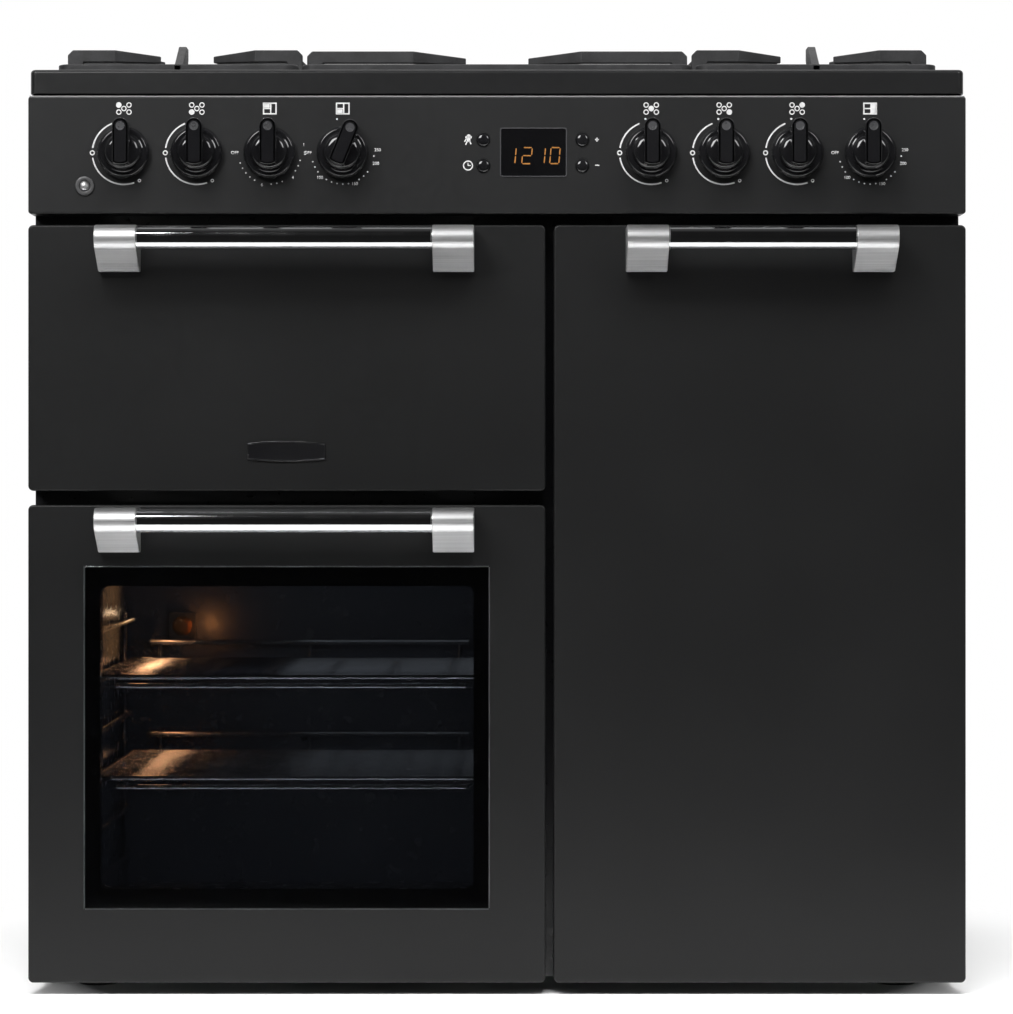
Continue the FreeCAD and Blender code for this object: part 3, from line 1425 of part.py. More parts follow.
def make_centre_support():
    """The pan support over the wok burner, with short ribs beside the burner."""
    name = "centre_pan_support"
    left = neg("size.centre_support_half")
    pieces = grate_frame(name, left, "size.centre_support_half")
    row = f"({FACE} + size.wok_finger_offset)"
    one = finger(name + "_finger", "0", left, row, "size.wok_finger_break",
                 "size.wok_finger_tip")
    middle = prism(name + "_middle", "XZ_Plane", [
        (left, GRATE_LOW), (f"{left} + size.grate_bar", GRATE_LOW),
        (f"{left} + size.riser_long", FINGER_LOW),
        ("0 - size.wok_finger_tip", f"{FINGER_LOW} + size.tip_fall / 2"),
        ("0 - size.wok_finger_tip", f"{SUPPORT_TOP} - size.tip_fall"),
        ("0 - size.wok_finger_break", SUPPORT_TOP),
        (f"{left} + size.grate_bar / 2", SUPPORT_TOP),
        (left, f"{SUPPORT_TOP} - size.grate_bar / 2"),
    ], f"0 - ({HOB_MIDDLE} + size.finger_width / 2)", "size.finger_width")
    side = fuse(name + "_side", [
        one, mirror(name + "_behind", one, Vector(0, 1, 0), y=HOB_MIDDLE), middle])
    pieces += [side, mirror(name + "_other", side, Vector(1, 0, 0))]
    node(fuse(name, pieces))


# ----------------------------------------------------------------------------------
# Inside the compartments
# ----------------------------------------------------------------------------------

def make_side_racks():
    """Chrome ladder racks on both walls of each compartment."""
    racks = []
    front = f"({FRAME_REAR} + size.shelf_front)"
    rear = f"({front} + size.shelf_depth)"
    for name, room, rungs in (("main", MAIN, 6), ("tall", TALL, 8), ("grill", GRILL, 2)):
        wall = f"({room['middle']} - {room['width']} / 2)"
        x = f"({wall} + size.rack_stand)"
        low = f"({room['floor']} + size.rack_low)"
        top = f"{low} + size.rack_pitch * {rungs - 1}"
        pieces = []
        for index in range(rungs):
            pieces.append(rod(f"{name}_rung_{index}", "Y", "size.rack_wire", x, front,
                              f"{low} + size.rack_pitch * {index}", f"{rear} - {front}"))
        upright_x = f"({wall} + size.rack_wire + size.seat_gap)"
        for tag, y in (("front", f"{front} + size.rack_upright_inset"),
                       ("rear", f"{rear} - size.rack_upright_inset")):
            pieces.append(rod(f"{name}_upright_{tag}", "Z", "size.rack_wire", upright_x, y,
                              f"{low} - size.rack_upright_over",
                              f"{top} - {low} + size.rack_upright_over * 2"))
            for index in range(rungs):
                pieces.append(rod(f"{name}_stub_{tag}_{index}", "X", "size.rack_stub",
                                  upright_x, y, f"{low} + size.rack_pitch * {index}",
                                  f"{x} - {upright_x}"))
        left = fuse(f"{name}_rack", pieces)
        racks += [left, mirror(f"{name}_rack_right", left, Vector(1, 0, 0),
                               x=room["middle"])]
    node(group("side_racks", racks))


def make_shelf(label, room, rung, depth):
    """A wire shelf with double front rails, fine wires and a raised rear rail.

    It lies on the rack's given rung, counted from the lowest, which is 0.
    """
    reach = f"({room['width']} / 2 - size.rack_stand)"
    left = f"({room['middle']} - {reach})"
    front = f"({FRAME_REAR} + size.shelf_front)"
    rear = f"({front} + {depth})"
    z = (f"({room['floor']} + size.rack_low + size.rack_pitch * {rung} + size.rack_wire"
         " + size.rail_wire + size.seat_gap)")
    wide = f"({reach} * 2)"
    rail = "size.rail_wire"
    short = f"({wide} - size.second_rail_inset * 2)"
    pieces = [
        rod(label + "_front", "X", rail, left, front, z, wide),
        rod(label + "_rear", "X", rail, left, rear, z, wide),
        rod(label + "_under", "X", rail, f"{left} + size.second_rail_inset", front,
            f"{z} - size.shelf_drop", short),
        rod(label + "_stop", "X", rail, f"{left} + size.second_rail_inset", rear,
            f"{z} + size.shelf_upstand", short),
    ]
    for tag, x in (("left", left), ("right", f"{left} + {wide}")):
        pieces.append(rod(f"{label}_side_{tag}", "Y", rail, x, front, z, depth))
        for corner, y in (("front", front), ("rear", rear)):
            ball = doc.addObject("Part::Sphere", f"{label}_ball_{tag}_{corner}")
            place(ball, x, y, z)
            pieces.append(bind(ball, Radius=rail))
    for index in range(3):
        x = f"{left} + size.post_inset + ({wide} - size.post_inset * 2) * {index} / 2"
        pieces.append(rod(f"{label}_post_{index}", "Z", "size.post_wire", x, rear, z,
                          "size.shelf_upstand"))
        pieces.append(rod(f"{label}_drop_{index}", "Z", "size.post_wire", x, front,
                          f"{z} - size.shelf_drop", "size.shelf_drop"))
    count = int(value(f"{wide} / size.wire_pitch"))
    for index in range(1, count):
        pieces.append(rod(f"{label}_wire_{index}", "Y", "size.fine_wire",
                          f"{left} + {wide} * {index} / {count}", front, z, depth))
    node(fuse(label, pieces))


def make_grill_pan():
    """The enamelled grill pan that slides on the grill compartment's racks."""
    reach = f"({GRILL['width']} / 2 - size.rack_stand)"
    middle = GRILL["middle"]
    front = f"({FRAME_REAR} + size.shelf_front)"
    rim = f"({GRILL['floor']} + size.rack_low + size.rack_wire + size.seat_gap)"
    body = new_body("grill_pan")
    lip = new_sketch(body, "XY_Plane", rim)
    outline(lip, rounded(f"({middle} - {reach})", f"({middle} + {reach})", front,
                         f"({front} + size.shelf_depth)", "size.basin_corner"))
    pad(body, lip, "size.sheet")
    tub = new_sketch(body, "XY_Plane", rim)
    inset = "size.pan_rim"
    outline(tub, rounded(f"({middle} - {reach} + {inset})", f"({middle} + {reach} - {inset})",
                         f"({front} + {inset})", f"({front} + size.shelf_depth - {inset})",
                         "size.basin_corner"))
    pad(body, tub, "size.pan_deep", backward=True)
    inner = new_sketch(body, "XY_Plane", f"{rim} + size.sheet")
    wall = f"({inset} + size.pan_wall)"
    outline(inner, rounded(f"({middle} - {reach} + {wall})", f"({middle} + {reach} - {wall})",
                           f"({front} + {wall})", f"({front} + size.shelf_depth - {wall})",
                           "size.basin_corner - size.pan_wall"))
    pocket(body, inner, "size.pan_deep + size.sheet - size.pan_wall")
    node(body)


def serpentine(name, room):
    """A heating element under a compartment's roof, bent to and fro."""
    radius = value("size.element_radius")
    z = value(f"{room['floor']} + {room['tall']} - size.element_drop")
    front = value(f"{FRAME_REAR} + size.element_margin")
    rear = value(f"{FRAME_REAR} + size.cavity_depth - size.sheet")
    middle = value(room["middle"])
    reach = value(f"{room['width']} / 2 - size.element_margin")
    turns = int(value("size.element_turns"))
    pitch = 2 * reach / (2 * turns - 1)
    bend = pitch / 2
    back = rear - value("size.element_margin")
    edges = []
    for index in range(2 * turns):
        x = middle - reach + index * pitch
        outer = index in (0, 2 * turns - 1)
        far = rear if outer else back - bend
        edges.append((Vector(x, front + bend, z), Vector(x, far, z)))
    path = []
    for index, (near, far) in enumerate(edges):
        forward = index % 2 == 1
        run = (near, far) if forward else (far, near)
        path.append(Part.LineSegment(*run).toShape())
        if index + 1 < len(edges):
            after = edges[index + 1]
            start = run[1]
            end = after[0] if not forward else after[1]
            if abs(start.y - end.y) > 1e-6:
                continue
            bulge = bend if forward else -bend
            crown = Vector((start.x + end.x) / 2, start.y + bulge, z)
            path.append(Part.Arc(start, crown, end).toShape())
    wire = Part.Wire(path)
    first = path[0].Vertexes[0].Point
    section = Part.Wire(Part.makeCircle(radius, first, Vector(0, 1, 0)))
    item = doc.addObject("Part::Feature", name)
    item.Shape = wire.makePipeShell([section], True, True)
    return item


def make_heating():
    """Roof elements of the grill and the main oven, and the tall oven's ring."""
    ring_item = doc.addObject("Part::Torus", "tall_element")
    ring_item.Placement = Placement(Vector(), AXIS_TURNS["Y"])
    place(ring_item, TALL["middle"], FAN_Y, FAN_Z)
    bind(ring_item, Radius1="size.ring_radius", Radius2="size.element_radius")
    leads = [
        rod(f"tall_lead_{index}", "Y", "size.element_radius",
            f"{TALL['middle']} + {offset}", FAN_Y, f"{FAN_Z} - sqrt(size.ring_radius"
            f" * size.ring_radius - {offset} * {offset})", f"{CAVITY_BACK} - {FAN_Y}")
        for index, offset in enumerate(("(0 - size.ring_lead)", "size.ring_lead"))
    ]
    node(group("heating_elements", [serpentine("grill_element", GRILL),
                                    serpentine("main_element", MAIN),
                                    fuse("tall_ring", [ring_item] + leads)]))


CAVITY_BACK = f"({FRAME_REAR} + size.cavity_depth - size.sheet)"
BAFFLE_Y = f"({CAVITY_BACK} - size.baffle_stand)"
FAN_Y = f"({CAVITY_BACK} - size.baffle_stand / 2)"
FAN_Z = f"({TALL['floor']} + size.fan_rise)"


def make_fan_housing():
    """The baffle in front of the fan and the motor behind the oven's back wall."""
    half = "(size.baffle_wide / 2)"
    middle = TALL["middle"]
    body = new_body("fan_baffle_plate")
    plate = new_sketch(body, "XZ_Plane", neg(BAFFLE_Y))
    outline(plate, rounded(f"({middle} - {half})", f"({middle} + {half})",
                           f"({FAN_Z} - {half})", f"({FAN_Z} + {half})", "size.basin_corner"))
    pad(body, plate, "size.baffle_stand", backward=True)
    inside = new_sketch(body, "XZ_Plane", neg(CAVITY_BACK))
    skin = f"({half} - size.sheet)"
    outline(inside, rounded(f"({middle} - {skin})", f"({middle} + {skin})",
                            f"({FAN_Z} - {skin})", f"({FAN_Z} + {skin})",
                            "size.basin_corner - size.sheet"))
    pocket(body, inside, "size.baffle_stand - size.sheet", along=True)
    mouth = new_sketch(body, "XZ_Plane", neg(BAFFLE_Y))
    circle(mouth, middle, FAN_Z, "size.baffle_mouth")
    pocket(body, mouth, "size.sheet * 2")
    motor = rod("fan_motor", "Y", "size.motor_radius", middle,
                f"{CAVITY_BACK} + size.sheet", FAN_Z, "size.motor_long")
    bore = rod("fan_motor_bore", "Y", "size.fan_shaft + size.shaft_fit", middle,
               CAVITY_BACK, FAN_Z, "size.motor_long / 2 + size.sheet")
    node(group("fan_housing", [body, cut("fan_motor_case", motor, [bore])]))


def make_fan():
    """The fan wheel: back plate, hub with shaft, and straight blades."""
    body = new_body("fan_wheel")
    start = f"({FAN_Y} - size.fan_deep / 2)"
    plate_y = f"({FAN_Y} + size.fan_deep / 2)"
    plate = new_sketch(body, "XZ_Plane", neg(plate_y))
    circle(plate, "0", "0", "size.fan_radius")
    pad(body, plate, "size.sheet", backward=True)
    hub = new_sketch(body, "XZ_Plane", neg(start))
    circle(hub, "0", "0", "size.fan_hub")
    pad(body, hub, "size.fan_deep", backward=True)
    shaft = new_sketch(body, "XZ_Plane", neg(plate_y))
    circle(shaft, "0", "0", "size.fan_shaft")
    pad(body, shaft, f"{CAVITY_BACK} + size.motor_long / 2 + size.sheet - {plate_y}"
        " - size.seat_gap", backward=True)
    blade = new_sketch(body, "XZ_Plane", neg(start))
    outline(blade, rectangle("size.fan_blade_start", "size.fan_radius",
                             "0 - size.sheet / 2", "size.sheet / 2"))
    vane = pad(body, blade, "size.fan_deep", backward=True)
    vanes = body.newObject("PartDesign::PolarPattern", "fan_vanes")
    vanes.Originals = [vane]
    vanes.Axis = (blade, ["N_Axis"])
    vanes.Angle = 360
    bind(vanes, Occurrences="size.fan_blades")
    body.Tip = vanes
    node(place(body, TALL["middle"], "0", FAN_Z))


def make_lamps():
    """An oven lamp on the back wall of the main oven and of the tall oven."""
    lamps = []
    half = "(size.lamp_wide / 2)"
    for name, room in (("main", MAIN), ("tall", TALL)):
        x = f"({room['middle']} - {room['width']} / 2 + size.lamp_side)"
        z = f"({room['floor']} + size.lamp_rise)" if name == "main" else (
            f"({room['floor']} + {room['tall']} - size.lamp_side * 2)")
        case = block(f"{name}_lamp_case", f"{x} - {half}", f"{x} + {half}",
                     f"{CAVITY_BACK} - size.lamp_deep", CAVITY_BACK, f"{z} - {half}",
                     f"{z} + {half}")
        lens = doc.addObject("Part::Cone", f"{name}_lamp_lens")
        lens.Placement = Placement(Vector(), AXIS_TURNS["Y"])
        place(lens, x, f"{CAVITY_BACK} - size.lamp_deep - size.lens_deep", z)
        bind(lens, Radius1="size.lens_front", Radius2="size.lens_radius",
             Height="size.lens_deep")
        lamps.append(fuse(f"{name}_lamp", [case, lens]))
    node(group("oven_lamps", lamps))


# ----------------------------------------------------------------------------------
# Build, check and write
# ----------------------------------------------------------------------------------

def build():
    """Builds every sub-part of the cooker."""
    make_side_panels()
    make_back_panel()
    make_base_pan()
    make_feet()
    make_front_frame()
    make_cavity("grill_cavity", GRILL)
    make_cavity("main_oven_cavity", MAIN)
    make_cavity("tall_oven_cavity", TALL, [fan_wall_bore()])
    make_seals()
    make_hinge_arms()
    make_grill_door()
    make_oven_door()
    make_tall_door()
    make_control_panel()
    make_timer()
    for name, x, z in TIMER_KEYS:
        make_timer_key(name, x, z)
    make_spark_key()
    make_gas_rail()
    make_electrical_cases()
    for name, x, kind in KNOBS:
        make_knob(name, x, kind)
        if kind == "gas":
            make_spindle(name.replace("knob", "spindle"), x)
    make_hotplate()
    make_burners()
    make_side_support("left_pan_support", "-1")
    make_side_support("right_pan_support", "1")
    make_centre_support()
    make_side_racks()
    make_shelf("lower_shelf", MAIN, 2, "size.shelf_depth")
    make_shelf("upper_shelf", MAIN, 4, "size.shelf_depth")
    make_shelf("tall_oven_shelf", TALL, 6, "size.tall_shelf_depth")
    make_grill_pan()
    make_heating()
    make_fan_housing()
    make_fan()
    make_lamps()


def check():
    """Stops if any object failed or any sub-part has no valid shape."""
    failed = [item.Name for item in doc.Objects
              if "Invalid" in item.State or "Error" in item.State]
    failed += [item.Label for item in nodes
               if item.Shape.isNull() or not item.Shape.Solids or not item.Shape.isValid()]
    if failed:
        raise RuntimeError("failed: " + ", ".join(failed))


def write():
    """Writes one file for each sub-part."""
    os.makedirs("parts", exist_ok=True)
    for item in nodes:
        item.Shape.exportStep(f"parts/{item.Label}.step")


build()
doc.recompute()
check()
write()
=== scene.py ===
"""The looks of a range cooker with a gas hob, a grill, a main oven and a tall oven.

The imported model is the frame.  Each sub-assembly is a class that models its own pieces
on the bench and gives them, and the CAD nodes that stay in view, their finishes.
Sizes are millimetres; the bench turns them into metres.
"""

import logging
import math
from collections.abc import Callable, Iterable, Sequence
from dataclasses import dataclass, field
from enum import Enum

import bmesh
import bpy
from mathutils import Matrix, Vector

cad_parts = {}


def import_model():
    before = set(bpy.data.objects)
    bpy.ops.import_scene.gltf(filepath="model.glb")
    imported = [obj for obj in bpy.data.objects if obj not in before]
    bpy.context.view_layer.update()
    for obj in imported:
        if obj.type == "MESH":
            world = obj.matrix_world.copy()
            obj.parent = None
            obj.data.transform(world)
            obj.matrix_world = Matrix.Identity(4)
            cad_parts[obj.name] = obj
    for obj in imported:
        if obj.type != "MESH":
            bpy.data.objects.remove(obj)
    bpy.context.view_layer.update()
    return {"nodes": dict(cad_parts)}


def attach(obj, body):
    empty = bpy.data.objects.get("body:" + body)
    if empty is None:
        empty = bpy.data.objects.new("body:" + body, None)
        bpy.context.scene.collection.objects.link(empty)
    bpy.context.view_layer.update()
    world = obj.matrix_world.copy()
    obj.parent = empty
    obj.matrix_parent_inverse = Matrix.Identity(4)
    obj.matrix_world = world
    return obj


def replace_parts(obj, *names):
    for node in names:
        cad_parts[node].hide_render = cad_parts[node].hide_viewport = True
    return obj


LOG = logging.getLogger("range_cooker")
MM = 0.001
MERGE_WITHIN = 2e-6

# Planes and levels of the frame that several sub-assemblies share.
FRONT = -274.75
DOOR_REAR = -244.75
BACK_SHEET = 305.25
KNOB_LEVEL = 808.5
BASIN = 879.5
PAN_LEVEL = 923.5
# Middles of the left doors and of the tall door in X, and the knobs' axes.
LEFT_MIDDLE, TALL_MIDDLE = -201.75, 252.25
KNOBS_X = (-358, -288, -218, -148, 148, 218, 288, 358)
# Corners of a rectangle about its middle, anticlockwise.
CORNERS = ((-1, -1), (1, -1), (1, 1), (-1, 1))

Point = tuple[float, float, float]
Pair = tuple[float, float]
Item = bpy.types.Object
Socket = bpy.types.NodeSocket
Test = Callable[[Vector, Vector], bool]


class Axis(Enum):
    """The axes of the frame."""

    X = (1.0, 0.0, 0.0)
    Y = (0.0, 1.0, 0.0)
    Z = (0.0, 0.0, 1.0)

    @property
    def way(self) -> Vector:
        """The direction of the axis."""
        return Vector(self.value)


def metres(point: Sequence[float]) -> Vector:
    """Returns a point in millimetres as metres."""
    return Vector(point) * MM


# ------------------------------ bench


def clear_bench() -> None:
    """Leaves edit mode and deselects everything."""
    if bpy.context.object and bpy.context.object.mode != "OBJECT":
        bpy.ops.object.mode_set(mode="OBJECT")
    bpy.ops.object.select_all(action="DESELECT")


def middle_and_way(edge: bmesh.types.BMEdge) -> tuple[Vector, Vector]:
    """Returns an edge's middle in millimetres and its direction."""
    start, end = (corner.co for corner in edge.verts)
    return (start + end) / (2 * MM), (end - start).normalized()


class Work:
    """One piece on the bench, in edit mode, shaped with Blender's operators."""

    def __init__(self, name: str) -> None:
        """Takes the object that was just added and opens it for shaping.

        Args:
            name: Name of the finished piece.
        """
        self.item: Item = bpy.context.object
        self.item.name = name
        self.item.data.name = name
        bpy.ops.object.transform_apply(location=True, rotation=True, scale=True)
        bpy.ops.object.mode_set(mode="EDIT")
        bpy.ops.mesh.select_mode(type="FACE")

    @classmethod
    def box(cls, name: str, low: Point, high: Point) -> "Work":
        """Adds a block between two corners.

        Args:
            name: Name of the piece.
            low: Lowest corner.
            high: Highest corner.

        Returns:
            The piece on the bench.
        """
        clear_bench()
        start, end = metres(low), metres(high)
        bpy.ops.mesh.primitive_cube_add(size=1, location=(start + end) / 2, scale=end - start)
        return cls(name)

    @classmethod
    def rod(cls, name: str, axis: Axis, radius: float, start: Point, length: float,
            sides: int = 48) -> "Work":
        """Adds a rod that runs from a point along an axis.

        Args:
            name: Name of the piece.
            axis: Axis that the rod follows.
            radius: Radius of the rod.
            start: Middle of the first end.
            length: Length of the rod.
            sides: Number of sides.

        Returns:
            The piece on the bench.
        """
        clear_bench()
        turn = Vector((0, 0, 1)).rotation_difference(axis.way).to_euler()
        middle = metres(start) + axis.way * (length * MM / 2)
        bpy.ops.mesh.primitive_cylinder_add(vertices=sides, radius=radius * MM,
                                            depth=length * MM, location=middle,
                                            rotation=turn)
        return cls(name)

    @classmethod
    def line(cls, name: str, points: Iterable[Point]) -> "Work":
        """Draws an open line by extruding one vertex from point to point.

        Args:
            name: Name of the piece.
            points: The points of the line.

        Returns:
            The piece on the bench, with the whole line selected.
        """
        clear_bench()
        route = [metres(point) for point in points]
        bpy.ops.mesh.primitive_plane_add(size=MM, location=route[0])
        work = cls(name)
        bpy.ops.mesh.select_mode(type="VERT")
        bpy.ops.mesh.select_all(action="SELECT")
        bpy.ops.mesh.merge(type="CENTER")
        for here, there in zip(route, route[1:]):
            bpy.ops.mesh.extrude_region_move(
                TRANSFORM_OT_translate={"value": there - here})
        bpy.ops.mesh.select_all(action="SELECT")
        return work

    @classmethod
    def plate(cls, name: str, points: Iterable[Point]) -> "Work":
        """Draws a closed outline and fills it with one face.

        Args:
            name: Name of the piece.
            points: The corners of the outline, in order.

        Returns:
            The piece on the bench, with its face selected.
        """
        work = cls.line(name, points)
        bpy.ops.mesh.edge_face_add()
        bpy.ops.mesh.select_mode(type="FACE")
        bpy.ops.mesh.select_all(action="SELECT")
        return work

    def all(self) -> "Work":
        """Selects the whole piece."""
        bpy.ops.mesh.select_all(action="SELECT")
        return self

    def pick(self, mode: str, wanted: Callable[[object], bool]) -> "Work":
        """Selects exactly the faces or edges that are wanted.

        Args:
            mode: "FACE" or "EDGE".
            wanted: Tells whether a face or edge is wanted.

        Returns:
            The piece itself.
        """
        mesh = bmesh.from_edit_mesh(self.item.data)
        bpy.ops.mesh.select_mode(type=mode)
        for part in mesh.faces if mode == "FACE" else mesh.edges:
            part.select_set(wanted(part))
        mesh.select_flush_mode()
        bmesh.update_edit_mesh(self.item.data)
        return self

    def faces(self, test: Test) -> "Work":
        """Selects the faces whose middle (in millimetres) and normal pass a test."""
        return self.pick("FACE", lambda face: test(face.calc_center_median() / MM, face.normal))

    def edges(self, test: Test) -> "Work":
        """Selects the edges whose middle (in millimetres) and direction pass a test."""
        return self.pick("EDGE", lambda edge: test(*middle_and_way(edge)))

    def sharp_edges(self, test: Test | None = None, angle: float = 30) -> "Work":
        """Selects the edges where two faces meet at more than an angle.

        Args:
            test: A further test of the edge's middle (in millimetres) and direction.
            angle: The least angle between the faces, in degrees.

        Returns:
            The piece itself.
        """
        def is_sharp(edge: bmesh.types.BMEdge) -> bool:
            bent = len(edge.link_faces) == 2 and edge.calc_face_angle(0) > math.radians(angle)
            return bent and (test is None or test(*middle_and_way(edge)))

        return self.pick("EDGE", is_sharp)

    def extrude(self, x: float = 0, y: float = 0, z: float = 0) -> "Work":
        """Extrudes what is selected by a step."""
        bpy.ops.mesh.extrude_region_move(
            TRANSFORM_OT_translate={"value": metres((x, y, z))})
        return self

    def turn(self, angle: float, axis: Axis, centre: Point) -> "Work":
        """Turns what is selected about a line, anticlockwise seen against the axis."""
        bpy.ops.transform.rotate(value=-math.radians(angle), orient_axis=axis.name,
                                 center_override=metres(centre))
        return self

    def grow(self, x: float, y: float, z: float, centre: Point) -> "Work":
        """Scales what is selected about a point."""
        bpy.ops.transform.resize(value=(x, y, z), center_override=metres(centre))
        return self

    def inset(self, width: float, depth: float = 0, apart: bool = False) -> "Work":
        """Insets the selected faces, which may also sink or rise."""
        bpy.ops.mesh.inset(thickness=width * MM, depth=depth * MM, use_individual=apart)
        return self

    def bevel(self, width: float, steps: int = 2, points: bool = False) -> "Work":
        """Rounds the selected edges or corners."""
        bpy.ops.mesh.bevel(offset=width * MM, segments=steps,
                           affect="VERTICES" if points else "EDGES")
        return self

    def spin(self, axis: Axis, centre: Point, steps: int) -> "Work":
        """Spins the selected line round an axis and closes the seam.

        Args:
            axis: Direction of the axis.
            centre: A point on the axis.
            steps: Number of steps of the whole turn.

        Returns:
            The piece itself.
        """
        self.all()
        bpy.ops.mesh.spin(steps=steps, angle=math.radians(360), center=metres(centre),
                          axis=axis.way, dupli=False)
        return self.close()

    def close(self) -> "Work":
        """Merges doubles and points every face outwards."""
        self.all()
        bpy.ops.mesh.remove_doubles(threshold=MERGE_WITHIN)
        bpy.ops.mesh.normals_make_consistent(inside=False)
        return self

    def rest(self, smooth: float | None = None) -> Item:
        """Takes the piece off the bench, still without a finish.

        Large flat faces keep their own normals beside rounded edges.

        Args:
            smooth: Angle below which the shading is smooth, in degrees.

        Returns:
            The object, in object mode.
        """
        bpy.ops.object.mode_set(mode="OBJECT")
        if smooth is not None:
            bpy.ops.object.shade_smooth_by_angle(angle=math.radians(smooth))
            modify(self.item, "WEIGHTED_NORMAL", keep_sharp=True)
        return self.item

    def done(self, finish: "Finish", body: str, slot: str | None = None,
             smooth: float | None = 35) -> Item:
        """Takes the piece off the bench, finished and riding on its body.

        Args:
            finish: The finish of the whole piece.
            body: CAD body that it rides on.
            slot: Name of a material slot; not used.
            smooth: Angle below which the shading is smooth, in degrees.

        Returns:
            The finished object.
        """
        self.rest(smooth)
        return settle(self.item, finish, body)


def settle(item: Item, finish: "Finish", body: str) -> Item:
    """Gives an object its finish and lets it ride.

    Args:
        item: The object.
        finish: The finish of the whole object.
        body: CAD body that it rides on.

    Returns:
        The same object.
    """
    item.data.materials.clear()
    item.data.materials.append(finish.material())
    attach(item, body)
    return item


def modify(item: Item, kind: str, **settings: object) -> Item:
    """Adds one modifier and applies it.

    Args:
        item: The object, in object mode.
        kind: Blender's name of the modifier.
        **settings: The modifier's settings.

    Returns:
        The same object.
    """
    clear_bench()
    bpy.context.view_layer.objects.active = item
    item.select_set(True)
    modifier = item.modifiers.new(kind.title(), kind)
    for key, value in settings.items():
        setattr(modifier, key, value)
    bpy.ops.object.modifier_apply(modifier=modifier.name)
    return item


def join(name: str, items: Sequence[Item]) -> Item:
    """Joins loose objects into one.

    Args:
        name: Name of the joined object.
        items: The objects; the first one keeps its materials in front.

    Returns:
        The joined object, in object mode.
    """
    clear_bench()
    for item in items:
        item.select_set(True)
    bpy.context.view_layer.objects.active = items[0]
    if len(items) > 1:
        bpy.ops.object.join()
    items[0].name = name
    items[0].data.name = name
    return items[0]


def copy(item: Item, name: str, x: float = 0, y: float = 0) -> Item:
    """Copies a piece with its own mesh, moved and set back at the origin.

    Args:
        item: The object to copy, which rides on nothing yet.
        name: Name of the copy.
        x: Move to the right.
        y: Move to the back.

    Returns:
        The copy.
    """
    clear_bench()
    twin = item.copy()
    twin.data = item.data.copy()
    twin.name = name
    twin.data.name = name
    bpy.context.scene.collection.objects.link(twin)
    twin.location = metres((x, y, 0))
    bpy.context.view_layer.objects.active = twin
    twin.select_set(True)
    bpy.ops.object.transform_apply(location=True, rotation=True, scale=True)
    return twin


def arc_points(centre: Pair, radius: float, start: float, end: float,
               steps: int) -> list[Pair]:
    """Returns points along an arc.

    Args:
        centre: Middle of the arc.
        radius: Radius of the arc.
        start: Angle of the first point, in degrees.
        end: Angle of the last point, in degrees.
        steps: Number of steps.

    Returns:
        The points, first and last included.
    """
    turns = [math.radians(start + (end - start) * step / steps) for step in range(steps + 1)]
    return [(centre[0] + radius * math.cos(turn), centre[1] + radius * math.sin(turn))
            for turn in turns]


# ------------------------------ effects


class Graph:
    """A node tree that is filled in node by node."""

    def __init__(self, tree: bpy.types.NodeTree) -> None:
        """Opens a tree.

        Args:
            tree: The tree of a material or of a node group.
        """
        self.tree = tree

    def add(self, kind: str, inputs: dict[str | int, object] | None = None,
            **settings: object) -> bpy.types.Node:
        """Adds a node.

        Args:
            kind: Blender's name of the node type, without its prefix.
            inputs: Values, or sockets to wire from, for the node's inputs.
            **settings: Properties of the node.

        Returns:
            The new node.
        """
        node = self.tree.nodes.new(f"ShaderNode{kind}")
        for key, value in settings.items():
            setattr(node, key, value)
        for key, value in (inputs or {}).items():
            if isinstance(value, Socket):
                self.tree.links.new(value, node.inputs[key])
            else:
                node.inputs[key].default_value = value
        return node

    def math(self, operation: str, first: object, second: object = 0.0,
             clamp: bool = False) -> Socket:
        """Adds a math node and returns its result."""
        node = self.add("Math", {0: first, 1: second}, operation=operation, use_clamp=clamp)
        return node.outputs[0]

    def spread(self, value: Socket, low: float, high: float, to_low: object,
               to_high: object) -> Socket:
        """Maps a value from one range to another, held at its ends, and returns it."""
        node = self.add("MapRange", {"Value": value, "From Min": low, "From Max": high,
                                     "To Min": to_low, "To Max": to_high})
        return node.outputs["Result"]

    def blend(self, share: object, first: object, second: object) -> Socket:
        """Blends two colours and returns the result."""
        node = self.add("Mix", {0: share, 6: first, 7: second}, data_type="RGBA")
        return node.outputs[2]


